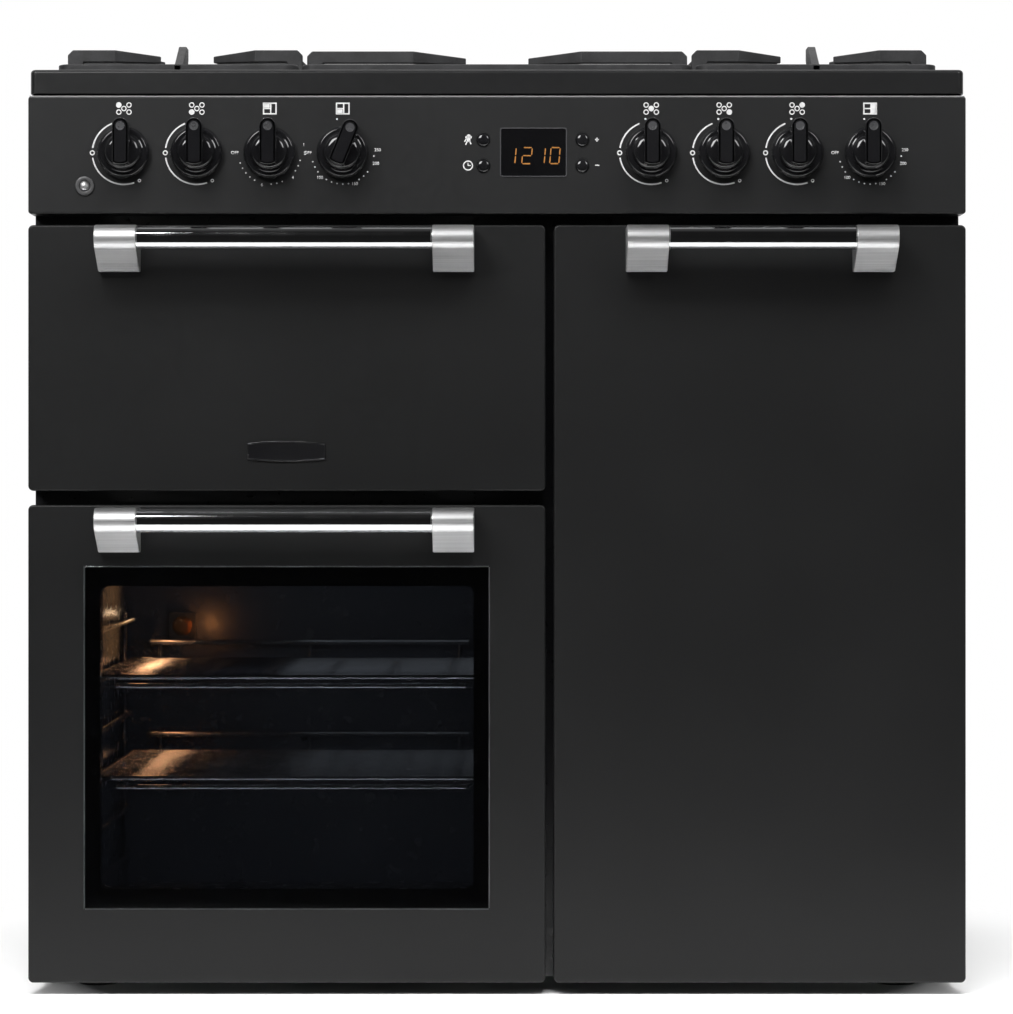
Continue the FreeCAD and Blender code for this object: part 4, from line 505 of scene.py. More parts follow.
class Effect(Enum):
    """The effects that several finishes share, one shader node group each."""

    GRAIN = "fine_grain"
    DRIFT = "colour_drift"
    BRUSH = "brush_lines"
    DUST = "settled_dust"
    PEEL = "orange_peel"

    def group(self) -> bpy.types.NodeTree:
        """Returns the node group of the effect, which is built once."""
        return bpy.data.node_groups.get(self.value) or getattr(self, f"_{self.name.lower()}")()

    def _start(self, inputs: dict[str, float], outputs: dict[str, str]
               ) -> tuple[Graph, bpy.types.Node, bpy.types.Node, Socket]:
        """Opens the group with its named inputs and outputs.

        Args:
            inputs: Names and default values of the number inputs.
            outputs: Names and socket types of the outputs.

        Returns:
            The graph, the inputs' node, the outputs' node and the object coordinates.
        """
        tree = bpy.data.node_groups.new(self.value, "ShaderNodeTree")
        for name, number in inputs.items():
            socket = tree.interface.new_socket(name, in_out="INPUT",
                                               socket_type="NodeSocketFloat")
            socket.default_value = number
        for name, kind in outputs.items():
            tree.interface.new_socket(name, in_out="OUTPUT", socket_type=f"NodeSocket{kind}")
        graph = Graph(tree)
        entry = tree.nodes.new("NodeGroupInput")
        leave = tree.nodes.new("NodeGroupOutput")
        place = graph.add("TexCoord").outputs["Object"]
        return graph, entry, leave, place

    def _grain(self) -> bpy.types.NodeTree:
        """Fine pits and patches that vary the roughness."""
        graph, entry, leave, place = self._start(
            {"Scale": 300.0, "Low": 0.3, "High": 0.4}, {"Roughness": "Float", "Height": "Float"})
        patches = graph.add("TexNoise", {"Vector": place, "Scale": entry.outputs["Scale"],
                                         "Detail": 4.0, "Roughness": 0.6})
        rough = graph.spread(patches.outputs["Fac"], 0.3, 0.7, entry.outputs["Low"],
                             entry.outputs["High"])
        fine = graph.add("TexNoise", {
            "Vector": place, "Scale": graph.math("MULTIPLY", entry.outputs["Scale"], 4.0),
            "Detail": 3.0})
        graph.tree.links.new(rough, leave.inputs["Roughness"])
        graph.tree.links.new(fine.outputs["Fac"], leave.inputs["Height"])
        return graph.tree

    def _drift(self) -> bpy.types.NodeTree:
        """Slow changes of lightness over a surface, as a mask."""
        graph, entry, leave, place = self._start(
            {"Scale": 6.0, "Low": 0.0, "High": 1.0}, {"Mask": "Float"})
        slow = graph.add("TexNoise", {"Vector": place, "Scale": entry.outputs["Scale"],
                                      "Detail": 5.0, "Roughness": 0.55})
        mask = graph.spread(slow.outputs["Fac"], 0.32, 0.68, entry.outputs["Low"],
                            entry.outputs["High"])
        graph.tree.links.new(mask, leave.inputs["Mask"])
        return graph.tree

    def _brush(self) -> bpy.types.NodeTree:
        """Long fine lines along one axis, as a brushing belt leaves them."""
        graph, entry, leave, place = self._start(
            {"Along X": 4.0, "Along Y": 900.0, "Along Z": 900.0, "Low": 0.2, "High": 0.4},
            {"Roughness": "Float", "Height": "Float", "Mask": "Float"})
        scale = graph.add("CombineXYZ", {"X": entry.outputs["Along X"],
                                         "Y": entry.outputs["Along Y"],
                                         "Z": entry.outputs["Along Z"]})
        stretched = graph.add("VectorMath", {0: place, 1: scale.outputs[0]},
                              operation="MULTIPLY")
        lines = graph.add("TexNoise", {"Vector": stretched.outputs[0], "Scale": 1.0,
                                       "Detail": 3.0, "Roughness": 0.65})
        rough = graph.spread(lines.outputs["Fac"], 0.3, 0.7, entry.outputs["Low"],
                             entry.outputs["High"])
        mask = graph.spread(lines.outputs["Fac"], 0.35, 0.65, 0.0, 1.0)
        graph.tree.links.new(rough, leave.inputs["Roughness"])
        graph.tree.links.new(lines.outputs["Fac"], leave.inputs["Height"])
        graph.tree.links.new(mask, leave.inputs["Mask"])
        return graph.tree

    def _dust(self) -> bpy.types.NodeTree:
        """A thin film of dust on the faces that look up, as a mask."""
        graph, entry, leave, place = self._start({"Amount": 0.2}, {"Mask": "Float"})
        normal = graph.add("NewGeometry").outputs["Normal"]
        upward = graph.add("SeparateXYZ", {"Vector": normal}).outputs["Z"]
        level = graph.spread(upward, 0.6, 1.0, 0.0, 1.0)
        specks = graph.add("TexNoise", {"Vector": place, "Scale": 90.0, "Detail": 6.0,
                                        "Roughness": 0.7})
        patchy = graph.spread(specks.outputs["Fac"], 0.35, 0.7, 0.2, 1.0)
        mask = graph.math("MULTIPLY", graph.math("MULTIPLY", level, patchy),
                          entry.outputs["Amount"], clamp=True)
        graph.tree.links.new(mask, leave.inputs["Mask"])
        return graph.tree

    def _peel(self) -> bpy.types.NodeTree:
        """The low waves that sprayed paint and fired enamel dry with."""
        graph, entry, leave, place = self._start({"Scale": 260.0}, {"Height": "Float"})
        waves = graph.add("TexNoise", {"Vector": place, "Scale": entry.outputs["Scale"],
                                       "Detail": 1.0, "Roughness": 0.4})
        graph.tree.links.new(waves.outputs["Fac"], leave.inputs["Height"])
        return graph.tree


# ------------------------------ finishes

Colour = tuple[float, float, float]
DUST_COLOUR = (0.32, 0.3, 0.27, 1)
MICROMETRE = 1e-6
# Scales of the brushing lines, per metre: across them, and along them.
ACROSS, ALONG = 1400.0, 5.0


@dataclass(frozen=True)
class Finish:
    """A finish: one material with the effects that feed its shader.

    Attributes:
        name: Name of the material.
        colour: Main colour, linear.
        second: Colour that the drift mask brings in, linear.
        low: Least roughness.
        high: Greatest roughness.
        metallic: 1 for bare metal.
        grain: Scale of the roughness patches, per metre.
        bump: Height of the surface relief, in micrometres.
        peel: Scale of the paint's waves, per metre; 0 leaves them out.
        brushed: Axis that brushing lines follow.
        dust: Share of dust on level faces.
        coat: Weight of a clear coat.
        coat_rough: Roughness of the clear coat.
        specular: Specular level.
        drift: Scale of the colour drift, per metre.
    """

    name: str
    colour: Colour
    second: Colour
    low: float = 0.3
    high: float = 0.4
    metallic: float = 0.0
    grain: float = 120.0
    bump: float = 6.0
    peel: float = 0.0
    brushed: Axis | None = None
    dust: float = 0.0
    coat: float = 0.0
    coat_rough: float = 0.05
    specular: float = 0.5
    drift: float = 8.0

    def material(self) -> bpy.types.Material:
        """Returns the material of the finish, which is built once."""
        return bpy.data.materials.get(self.name) or self.build()

    def build(self) -> bpy.types.Material:
        """Builds the material.

        Returns:
            The new material.
        """
        graph, shader, tree = self.start()
        mask = effect(graph, Effect.DRIFT, Scale=self.drift).outputs["Mask"]
        colour = graph.blend(mask, (*self.colour, 1), (*self.second, 1))
        if self.brushed:
            lines = effect(graph, Effect.BRUSH, Low=self.low, High=self.high, **{
                f"Along {axis.name}": ALONG if axis is self.brushed else ACROSS for axis in Axis})
            rough, height = lines.outputs["Roughness"], lines.outputs["Height"]
            paler = tuple(min(1.0, part * 1.25) for part in self.second)
            colour = graph.blend(lines.outputs["Mask"], colour, (*paler, 1))
        else:
            grain = effect(graph, Effect.GRAIN, Scale=self.grain, Low=self.low, High=self.high)
            rough, height = grain.outputs["Roughness"], grain.outputs["Height"]
        if self.peel:
            waves = effect(graph, Effect.PEEL, Scale=self.peel).outputs["Height"]
            height = graph.math("ADD", graph.math("MULTIPLY", height, 0.25), waves)
        if self.dust:
            dust = effect(graph, Effect.DUST, Amount=self.dust).outputs["Mask"]
            colour = graph.blend(dust, colour, DUST_COLOUR)
            rough = graph.math("ADD", rough, graph.math("MULTIPLY", dust, 0.5), clamp=True)
        bump = graph.add("Bump", {"Height": height, "Strength": 1.0,
                                  "Distance": self.bump * MICROMETRE})
        tree.links.new(colour, shader.inputs["Base Color"])
        tree.links.new(rough, shader.inputs["Roughness"])
        tree.links.new(bump.outputs["Normal"], shader.inputs["Normal"])
        return bpy.data.materials[self.name]

    def start(self) -> tuple[Graph, bpy.types.Node, bpy.types.NodeTree]:
        """Opens the material with a Principled shader that has its plain values.

        Returns:
            The graph, the shader and the material's tree.
        """
        material = bpy.data.materials.new(self.name)
        material.use_nodes = True
        tree = material.node_tree
        shader = tree.nodes["Principled BSDF"]
        shader.inputs["Metallic"].default_value = self.metallic
        shader.inputs["Coat Weight"].default_value = self.coat
        shader.inputs["Coat Roughness"].default_value = self.coat_rough
        shader.inputs["Specular IOR Level"].default_value = self.specular
        return Graph(tree), shader, tree


@dataclass(frozen=True)
class Glass(Finish):
    """Clear or tinted glass."""

    tint: Colour = (0.8, 0.84, 0.86)

    def build(self) -> bpy.types.Material:
        """Builds the material.

        Returns:
            The new material.
        """
        graph, shader, tree = self.start()
        shader.inputs["Transmission Weight"].default_value = 1.0
        shader.inputs["Base Color"].default_value = (*self.tint, 1)
        grain = effect(graph, Effect.GRAIN, Scale=self.grain, Low=self.low, High=self.high)
        tree.links.new(grain.outputs["Roughness"], shader.inputs["Roughness"])
        return bpy.data.materials[self.name]


@dataclass(frozen=True)
class Glow(Finish):
    """A part that shines, such as a lamp or a display's digits.

    Attributes:
        strength: Strength of the light.
    """

    strength: float = 1.0

    def build(self) -> bpy.types.Material:
        """Builds the material.

        Returns:
            The new material.
        """
        super().build()
        material = bpy.data.materials[self.name]
        graph = Graph(material.node_tree)
        shader = material.node_tree.nodes["Principled BSDF"]
        mask = effect(graph, Effect.DRIFT, Scale=400.0, Low=0.8, High=1.0).outputs["Mask"]
        lit = graph.blend(mask, (*self.second, 1), (*self.colour, 1))
        graph.tree.links.new(lit, shader.inputs["Emission Color"])
        shader.inputs["Emission Strength"].default_value = self.strength
        return material


def effect(graph: Graph, kind: Effect, **inputs: float) -> bpy.types.Node:
    """Places an effect's group in a tree.

    Args:
        graph: The tree to place it in.
        kind: The effect.
        **inputs: Values of its named inputs.

    Returns:
        The group's node.
    """
    node = graph.add("Group", node_tree=kind.group())
    for name, number in inputs.items():
        node.inputs[name].default_value = number
    return node


PAINT = Finish("satin_anthracite_paint", (0.0054, 0.0055, 0.0056), (0.0068, 0.0069, 0.007),
               0.36, 0.44, bump=3, peel=420, specular=0.26, drift=5)
# The panel's paint is the door paint made lighter: painted light, for the panel shows brighter
# than the doors.
LIT_PANEL_PAINT = Finish("satin_panel_paint", (0.0084, 0.0085, 0.0087), (0.0104, 0.0105, 0.0107),
                     0.34, 0.42, bump=3, peel=420, specular=0.3, drift=5)
HOB_ENAMEL = Finish("satin_hob_enamel", (0.0064, 0.0065, 0.0067), (0.0082, 0.0083, 0.0085),
                    0.28, 0.36, bump=2, peel=360, dust=0.02, specular=0.36, drift=6)
ENAMEL = Finish("black_oven_enamel", (0.009, 0.0098, 0.0128), (0.012, 0.013, 0.0165), 0.16, 0.3,
                grain=60, bump=2.5, peel=240, dust=0.02)
FRAME_ENAMEL = Finish("black_frame_enamel", (0.005, 0.005, 0.006), (0.008, 0.008, 0.009),
                      0.25, 0.4, bump=5, peel=300)
GALVANISED = Finish("galvanised_steel", (0.42, 0.43, 0.44), (0.56, 0.57, 0.58), 0.32, 0.5,
                    metallic=1, grain=45, bump=4, drift=70, dust=0.04)
IRON = Finish("matt_cast_iron", (0.0085, 0.0085, 0.009), (0.016, 0.016, 0.017), 0.5, 0.68,
              grain=500, bump=60, drift=60, dust=0.03)
BRACKET = Finish("brushed_satin_metal", (0.58, 0.58, 0.583), (0.68, 0.68, 0.683), 0.38, 0.54,
                 metallic=1, bump=3, brushed=Axis.X, drift=12)
CHROME = Finish("polished_chrome", (0.72, 0.73, 0.74), (0.78, 0.79, 0.8), 0.05, 0.1,
                metallic=1, grain=30, bump=0.6)
WIRE = Finish("bright_wire", (0.62, 0.63, 0.65), (0.7, 0.71, 0.73), 0.14, 0.26, metallic=1,
              grain=200, bump=2)
KNOB = Finish("gloss_black_knob", (0.004, 0.004, 0.0045), (0.0065, 0.0065, 0.007), 0.06, 0.13,
              grain=60, bump=1.5, coat=0.4)
DOT = Finish("grey_knob_inset", (0.024, 0.024, 0.025), (0.036, 0.036, 0.038), 0.2, 0.34, bump=2)
BADGE_RIM = Finish("badge_rim_metal", (0.3, 0.3, 0.31), (0.42, 0.42, 0.43), 0.16, 0.28,
                   metallic=1, bump=1)
# The panel's top-edge strip: a pale satin grey, a painted highlight where the rounded edge catches
# the light.
PAINTED_EDGE_HIGHLIGHT = Finish("satin_edge_bead", (0.1, 0.1, 0.102), (0.13, 0.13, 0.132), 0.3, 0.4, bump=2)
COLLAR = Finish("satin_collar", (0.03, 0.03, 0.031), (0.042, 0.042, 0.043), 0.26, 0.36, bump=2)
PLASTIC = Finish("matt_case_plastic", (0.02, 0.02, 0.022), (0.028, 0.028, 0.03), 0.45, 0.6,
                 grain=500, bump=12)
CROWN = Finish("cast_crown_aluminium", (0.34, 0.34, 0.345), (0.46, 0.46, 0.465), 0.4, 0.58,
               metallic=1, grain=350, bump=25, dust=0.03)
CAP = Finish("matt_cap_enamel", (0.008, 0.008, 0.009), (0.013, 0.013, 0.014), 0.34, 0.48,
             bump=8, peel=500, dust=0.02)
ROPE = Finish("woven_glass_rope", (0.09, 0.088, 0.084), (0.16, 0.155, 0.148), 0.8, 0.95,
              grain=900, bump=200, drift=500, specular=0.2)
PRINT = Finish("white_printing", (0.36, 0.36, 0.36), (0.44, 0.44, 0.44), 0.4, 0.5, bump=1,
               drift=200)
BORDER = Finish("black_glass_border", (0.0022, 0.0022, 0.0025), (0.0032, 0.0032, 0.0035),
                0.03, 0.06, grain=20, bump=0.2)
WINDOW = Glass("clear_window_glass", (0, 0, 0), (0, 0, 0), 0.0, 0.02, tint=(0.6, 0.615, 0.635))
EDGE_GLASS = Finish("ground_glass_edge", (0.1, 0.105, 0.105), (0.17, 0.18, 0.18), 0.25, 0.4,
                    bump=3)
RUBBER = Finish("black_rubber", (0.018, 0.018, 0.018), (0.028, 0.028, 0.027), 0.6, 0.8,
                grain=300, bump=15, dust=0.05)
DIGITS = Glow("amber_digits", (0.2, 0.085, 0.02), (0.14, 0.06, 0.015), 0.3, 0.4, strength=0.55)
LAMP_CASE = Finish("dark_lamp_case", (0.007, 0.007, 0.007), (0.011, 0.011, 0.011), 0.3, 0.42,
                   grain=300, bump=6)
LENS = Finish("ribbed_lamp_lens", (0.03, 0.028, 0.026), (0.05, 0.046, 0.04), 0.12, 0.22, bump=2)
LAMP = Glow("lit_lamp_lens", (0.06, 0.026, 0.009), (0.04, 0.016, 0.005), 0.12, 0.22,
            strength=0.12)


# ------------------------------ studio


Ramp = tuple[float, float, float, float]


@dataclass
class Softbox:
    """A large soft lamp that points at a place.

    Attributes:
        name: Name of the lamp.
        at: Middle of the lamp.
        aim: Point that it looks at.
        width: Width of the lamp.
        height: Height of the lamp.
        watts: Power of the lamp.
        colour: Colour of its light.
        mirrored: Whether it shows in glossy surfaces.
    """

    name: str
    at: Point
    aim: Point
    width: float
    height: float
    watts: float
    colour: Colour = (1.0, 1.0, 1.0)
    mirrored: bool = True

    def build(self) -> Item:
        """Hangs the lamp."""
        data = bpy.data.lights.new(self.name, "AREA")
        data.shape = "RECTANGLE"
        data.size, data.size_y = self.width * MM, self.height * MM
        data.energy = self.watts
        data.color = self.colour
        lamp = bpy.data.objects.new(self.name, data)
        bpy.context.scene.collection.objects.link(lamp)
        lamp.location = metres(self.at)
        aim = metres(self.aim) - lamp.location
        lamp.rotation_euler = aim.to_track_quat("-Z", "Y").to_euler()
        lamp.visible_glossy = self.mirrored
        lamp.visible_camera = lamp.visible_transmission = False
        return lamp


def mirrors_and_glass(graph: Graph, path: bpy.types.Node) -> Socket:
    """Returns 1 for the rays of a Light Path node that are mirrored or pass through glass."""
    return graph.math("MAXIMUM", path.outputs["Is Transmission Ray"],
                      path.outputs["Is Glossy Ray"])


@dataclass
class Studio:
    """The floor, the lamps, the world and the camera.

    A ramp gives two places, in metres on the floor and as part of a way in the world, and
    the values there.

    Attributes:
        camera_at: Place of the camera, which looks straight to the back.
        lens: Focal length of the lens.
        shift: Shift of the lens, in long sides of the picture.
        floor_radius: Radius of the floor.
        floor_mottle: Reflectance of the floor over its noise.
        floor_fall: How it falls with the distance from the cooker.
        floor_fade: Where the camera sees the floor turn into the background.
        floor_behind: Where mirrors and glass see it turn into the background.
        floor_dark: Where mirrors see the floor go dark in front of the cooker.
        dark_level: Brightness of that dark floor.
        sky: Strength of the world's light from the horizon up.
        sky_behind: Where mirrors and glass see the world turn white.
        room: Strength of the dim room that mirrors see in front.
        lamps: The lamps around the cooker.
    """

    camera_at: Point = (2.9, -3774.75, 485.0)
    lens: float = 129.5
    shift: Pair = (0.0064, -0.0168)
    floor_radius: float = 14000
    floor_mottle: Ramp = (0.3, 0.7, 0.83, 0.85)
    floor_fall: Ramp = (0.75, 1.3, 1.0, 0.3)
    floor_fade: Ramp = (0.45, 0.72, 0.0, 1.0)
    floor_behind: Ramp = (0.5, 1.2, 0.0, 1.0)
    floor_dark: Ramp = (-1.0, -0.88, 1.0, 0.0)
    dark_level: float = 0.012
    sky: Ramp = (0.0, 0.5, 0.09, 0.08)
    sky_behind: Ramp = (0.05, 0.45, 0.0, 1.0)
    room: Ramp = (-0.6, -0.05, 0.01, 0.08)
    lamps: list[Softbox] = field(default_factory=lambda: [
        Softbox("left_softbox", (-1400, -2500, 2400), (-100, -270, 450), 1400, 1400, 70),
        Softbox("right_softbox", (1900, -2300, 2300), (200, -270, 450), 1000, 1200, 26),
        Softbox("front_softbox", (0, -1900, 2950), (0, -270, 600), 2800, 900, 195,
                mirrored=False),
        Softbox("overhead_softbox", (0, 500, 3000), (0, 100, 500), 2400, 1600, 50,
                mirrored=False),
    ])

    def build(self) -> None:
        """Sets up the whole studio."""
        self.build_camera()
        self.build_floor()
        self.build_world()
        for lamp in self.lamps:
            lamp.build()
        bpy.context.scene.view_settings.view_transform = "Standard"

    def build_camera(self) -> None:
        """Places the camera level with the middle of the doors."""
        data = bpy.data.cameras.new("camera")
        data.lens = self.lens
        data.shift_x, data.shift_y = self.shift
        data.clip_start, data.clip_end = 0.05, 60
        camera = bpy.data.objects.new("camera", data)
        bpy.context.scene.collection.objects.link(camera)
        camera.location = metres(self.camera_at)
        camera.rotation_euler = (math.radians(90), 0, 0)
        bpy.context.scene.camera = camera

    def build_floor(self) -> None:
        """Lays a round white floor that fades into the white background."""
        clear_bench()
        bpy.ops.mesh.primitive_circle_add(vertices=96, radius=self.floor_radius * MM,
                                          fill_type="NGON")
        floor = bpy.context.object
        floor.name = floor.data.name = "studio_floor"
        material = bpy.data.materials.new("white_floor")
        material.use_nodes = True
        graph = Graph(material.node_tree)
        tree = material.node_tree
        shader = tree.nodes["Principled BSDF"]
        place = graph.add("TexCoord").outputs["Object"]
        mottle = graph.add("TexNoise", {"Vector": place, "Scale": 3.0, "Detail": 4.0})
        shade = graph.spread(mottle.outputs["Fac"], *self.floor_mottle)
        reach = graph.add("VectorMath", {0: place}, operation="LENGTH").outputs["Value"]
        shade = graph.math("MULTIPLY", shade, graph.spread(reach, *self.floor_fall))
        colour = graph.add("CombineColor", {0: shade, 1: shade, 2: shade})
        tree.links.new(colour.outputs[0], shader.inputs["Base Color"])
        shader.inputs["Roughness"].default_value = 0.75
        shader.inputs["Specular IOR Level"].default_value = 0.2
        path = graph.add("LightPath")
        far = graph.math("MULTIPLY", graph.spread(reach, *self.floor_fade),
                         path.outputs["Is Camera Ray"])
        parts = graph.add("SeparateXYZ", {"Vector": place})
        behind = graph.spread(parts.outputs["Y"], *self.floor_behind)
        seen = graph.math("MAXIMUM", far,
                          graph.math("MULTIPLY", behind, mirrors_and_glass(graph, path)))
        white = graph.add("Emission", {"Color": (1, 1, 1, 1), "Strength": 1.0})
        lit = graph.add("MixShader", {0: seen, 1: shader.outputs[0], 2: white.outputs[0]})
        away = graph.math("MULTIPLY", graph.spread(parts.outputs["Y"], *self.floor_dark),
                          path.outputs["Is Glossy Ray"])
        dim = graph.add("Emission", {"Color": (1, 1, 1, 1), "Strength": self.dark_level})
        mixed = graph.add("MixShader", {0: away, 1: lit.outputs[0], 2: dim.outputs[0]})
        tree.links.new(mixed.outputs[0], tree.nodes["Material Output"].inputs["Surface"])
        floor.data.materials.append(material)

    def build_world(self) -> None:
        """Makes a white background, with a dim room in front of the cooker."""
        world = bpy.data.worlds.new("studio_world")
        bpy.context.scene.world = world
        world.use_nodes = True
        graph = Graph(world.node_tree)
        nodes = world.node_tree.nodes
        way = graph.add("TexCoord").outputs["Generated"]
        parts = graph.add("SeparateXYZ", {"Vector": way})
        high = graph.spread(parts.outputs["Z"], *self.sky)
        behind = graph.spread(parts.outputs["Y"], *self.sky_behind)
        path = graph.add("LightPath")
        seen = graph.math("MAXIMUM", path.outputs["Is Camera Ray"],
                          graph.math("MULTIPLY", behind, mirrors_and_glass(graph, path)))
        front = graph.spread(parts.outputs["Y"], *self.room)
        room = graph.add("Mix", {0: path.outputs["Is Glossy Ray"], 2: high, 3: front},
                         data_type="FLOAT")
        level = graph.add("Mix", {0: seen, 2: room.outputs[0], 3: 1.0}, data_type="FLOAT")
        world.node_tree.links.new(level.outputs[0], nodes["Background"].inputs["Strength"])
        nodes["Background"].inputs["Color"].default_value = (1, 1, 1, 1)


# ------------------------------ chassis

CAD_FINISHES: dict[str, Finish] = {
    "side_panels": PAINT, "control_panel": LIT_PANEL_PAINT, "hotplate": HOB_ENAMEL,
    "grill_door_outer": PAINT, "oven_door_outer": PAINT, "tall_door_outer": PAINT,
    "front_frame": FRAME_ENAMEL, "grill_cavity": ENAMEL, "main_oven_cavity": ENAMEL,
    "tall_oven_cavity": ENAMEL, "burner_caps": CAP, "grill_door_inner": ENAMEL,
    "oven_door_inner": ENAMEL, "tall_door_inner": ENAMEL, "grill_pan": ENAMEL,
    "back_panel": GALVANISED, "base_pan": GALVANISED, "levelling_feet": GALVANISED,
    "hinge_arms": GALVANISED, "fan_housing": GALVANISED, "fan_wheel": GALVANISED,
    "heating_elements": GALVANISED, "left_pan_support": IRON, "centre_pan_support": IRON,
    "right_pan_support": IRON, "grill_handle_brackets": BRACKET,
    "oven_handle_brackets": BRACKET, "tall_handle_brackets": BRACKET,
    "grill_handle_bar": CHROME, "oven_handle_bar": CHROME, "tall_handle_bar": CHROME,
    "side_racks": WIRE, "lower_shelf": WIRE, "upper_shelf": WIRE, "tall_oven_shelf": WIRE,
    "ignition_button": CHROME, "timer_module": PLASTIC, "electrical_cases": PLASTIC,
    "oven_lamps": PLASTIC, "oven_door_glass": WINDOW, "burner_crowns": CROWN,
    "gas_rail": CROWN, "door_seals": ROPE,
    **{f"gas_spindle_{number}": BRACKET for number in (1, 2, 5, 6, 7)},
    **{f"gas_knob_{number}": KNOB for number in (1, 2, 5, 6, 7)},
    **{f"oven_knob_{number}": KNOB for number in (3, 4, 8)},
    **{f"timer_key_{number}": KNOB for number in (1, 2, 3, 4)},
}


def dress_cad_nodes(nodes: dict[str, Item]) -> None:
    """Gives every CAD node its finish.

    Args:
        nodes: The frame's CAD nodes by name.
    """
    for name, item in nodes.items():
        item.data.materials.clear()
        item.data.materials.append(CAD_FINISHES[name].material())
        LOG.info("CAD node %s has the finish %s", name, CAD_FINISHES[name].name)


# ------------------------------ doors


@dataclass
class Handle:
    """Two brushed brackets and the polished bar between them.

    Attributes:
        door: Name of the door, which is also the first word of its CAD nodes.
        middle: Middle of the handle in X.
        top: Level of the brackets' top.
        span: Distance over both brackets.
        face: Plane of the door's front in Y.
        width: Width of a bracket.
        tall: Height of a bracket.
        nose: Radius of the bracket's rounded front.
        stand_off: Distance from the door to the bar's axis.
        lean: Angle at which the bracket's front leaves the nose, in degrees.
        radius: Radius of the bar.
        socket: Depth of the bar's seat in a bracket.
    """

    door: str
    middle: float
    top: float
    span: float
    face: float = FRONT
    width: float = 39.75
    tall: float = 42.75
    nose: float = 12.5
    stand_off: float = 38
    lean: float = 60
    radius: float = 11.5
    socket: float = 8

    def build(self) -> None:
        """Models and dresses the brackets and the bar."""
        body = f"{self.door}_door"
        left = self.bracket(f"{self.door}_bracket_left", -self.span / 2)
        right = self.bracket(f"{self.door}_bracket_right", self.span / 2 - self.width)
        pair = join(f"{self.door}_brushed_brackets", [left, right])
        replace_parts(settle(pair, BRACKET, body),
                    f"{self.door}_handle_brackets")
        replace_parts(self.bar(body), f"{self.door}_handle_bar")

    def profile(self, x: float) -> list[Point]:
        """Returns the side view of a bracket at a place in X."""
        axis_y, axis_z = self.face - self.stand_off, self.top - self.nose
        nose = arc_points((axis_y, axis_z), self.nose, 90, 180 + self.lean, 15)
        foot = self.top - self.tall
        touch_y, touch_z = nose[-1]
        end = (min(touch_y + (touch_z - foot) * math.tan(math.radians(self.lean)),
                   self.face - 8), foot)
        return [(x, y, z) for y, z in ((self.face, foot), (self.face, self.top), *nose, end)]

    def bracket(self, name: str, start: float) -> Item:
        """Models one bracket: extruded profile, eased edges and the seat of the bar.

        Args:
            name: Name of the piece.
            start: Left side, measured from the handle's middle.

        Returns:
            The bracket, in object mode.
        """
        x = self.middle + start
        work = Work.plate(name, self.profile(x))
        work.extrude(x=self.width).close()
        work.sharp_edges(lambda at, way: abs(way.x) < 0.5 and at.y < self.face - 0.5)
        work.bevel(1.1, 3)
        inner = x + self.width if start < 0 else x
        sign = 1 if start < 0 else -1
        work.faces(lambda at, way: way.x * sign > 0.99 and abs(at.x - inner) < 0.3)
        work.inset(1.2).inset(0.5, -0.35)
        return work.rest(28)

    def bar(self, body: str) -> Item:
        """Models the tube with a collar line at each bracket.

        Args:
            body: CAD body that the bar rides on.

        Returns:
            The finished bar.
        """
        half = self.span / 2 - self.width
        reach = half + self.socket
        groove = 0.25
        steps = [(-reach, self.radius - 2), (-reach, self.radius), (-half - 0.2, self.radius),
                 (-half + 0.1, self.radius - groove), (-half + 0.7, self.radius - groove),
                 (-half + 1.0, self.radius)]
        steps += [(-x, r) for x, r in reversed(steps)]
        axis_y, axis_z = self.face - self.stand_off, self.top - self.nose
        work = Work.line(f"{self.door}_polished_bar",
                         [(self.middle + x, axis_y, axis_z + r) for x, r in steps])
        work.spin(Axis.X, (self.middle, axis_y, axis_z), 72)
        return work.done(CHROME, body, "bright_chrome", smooth=30)


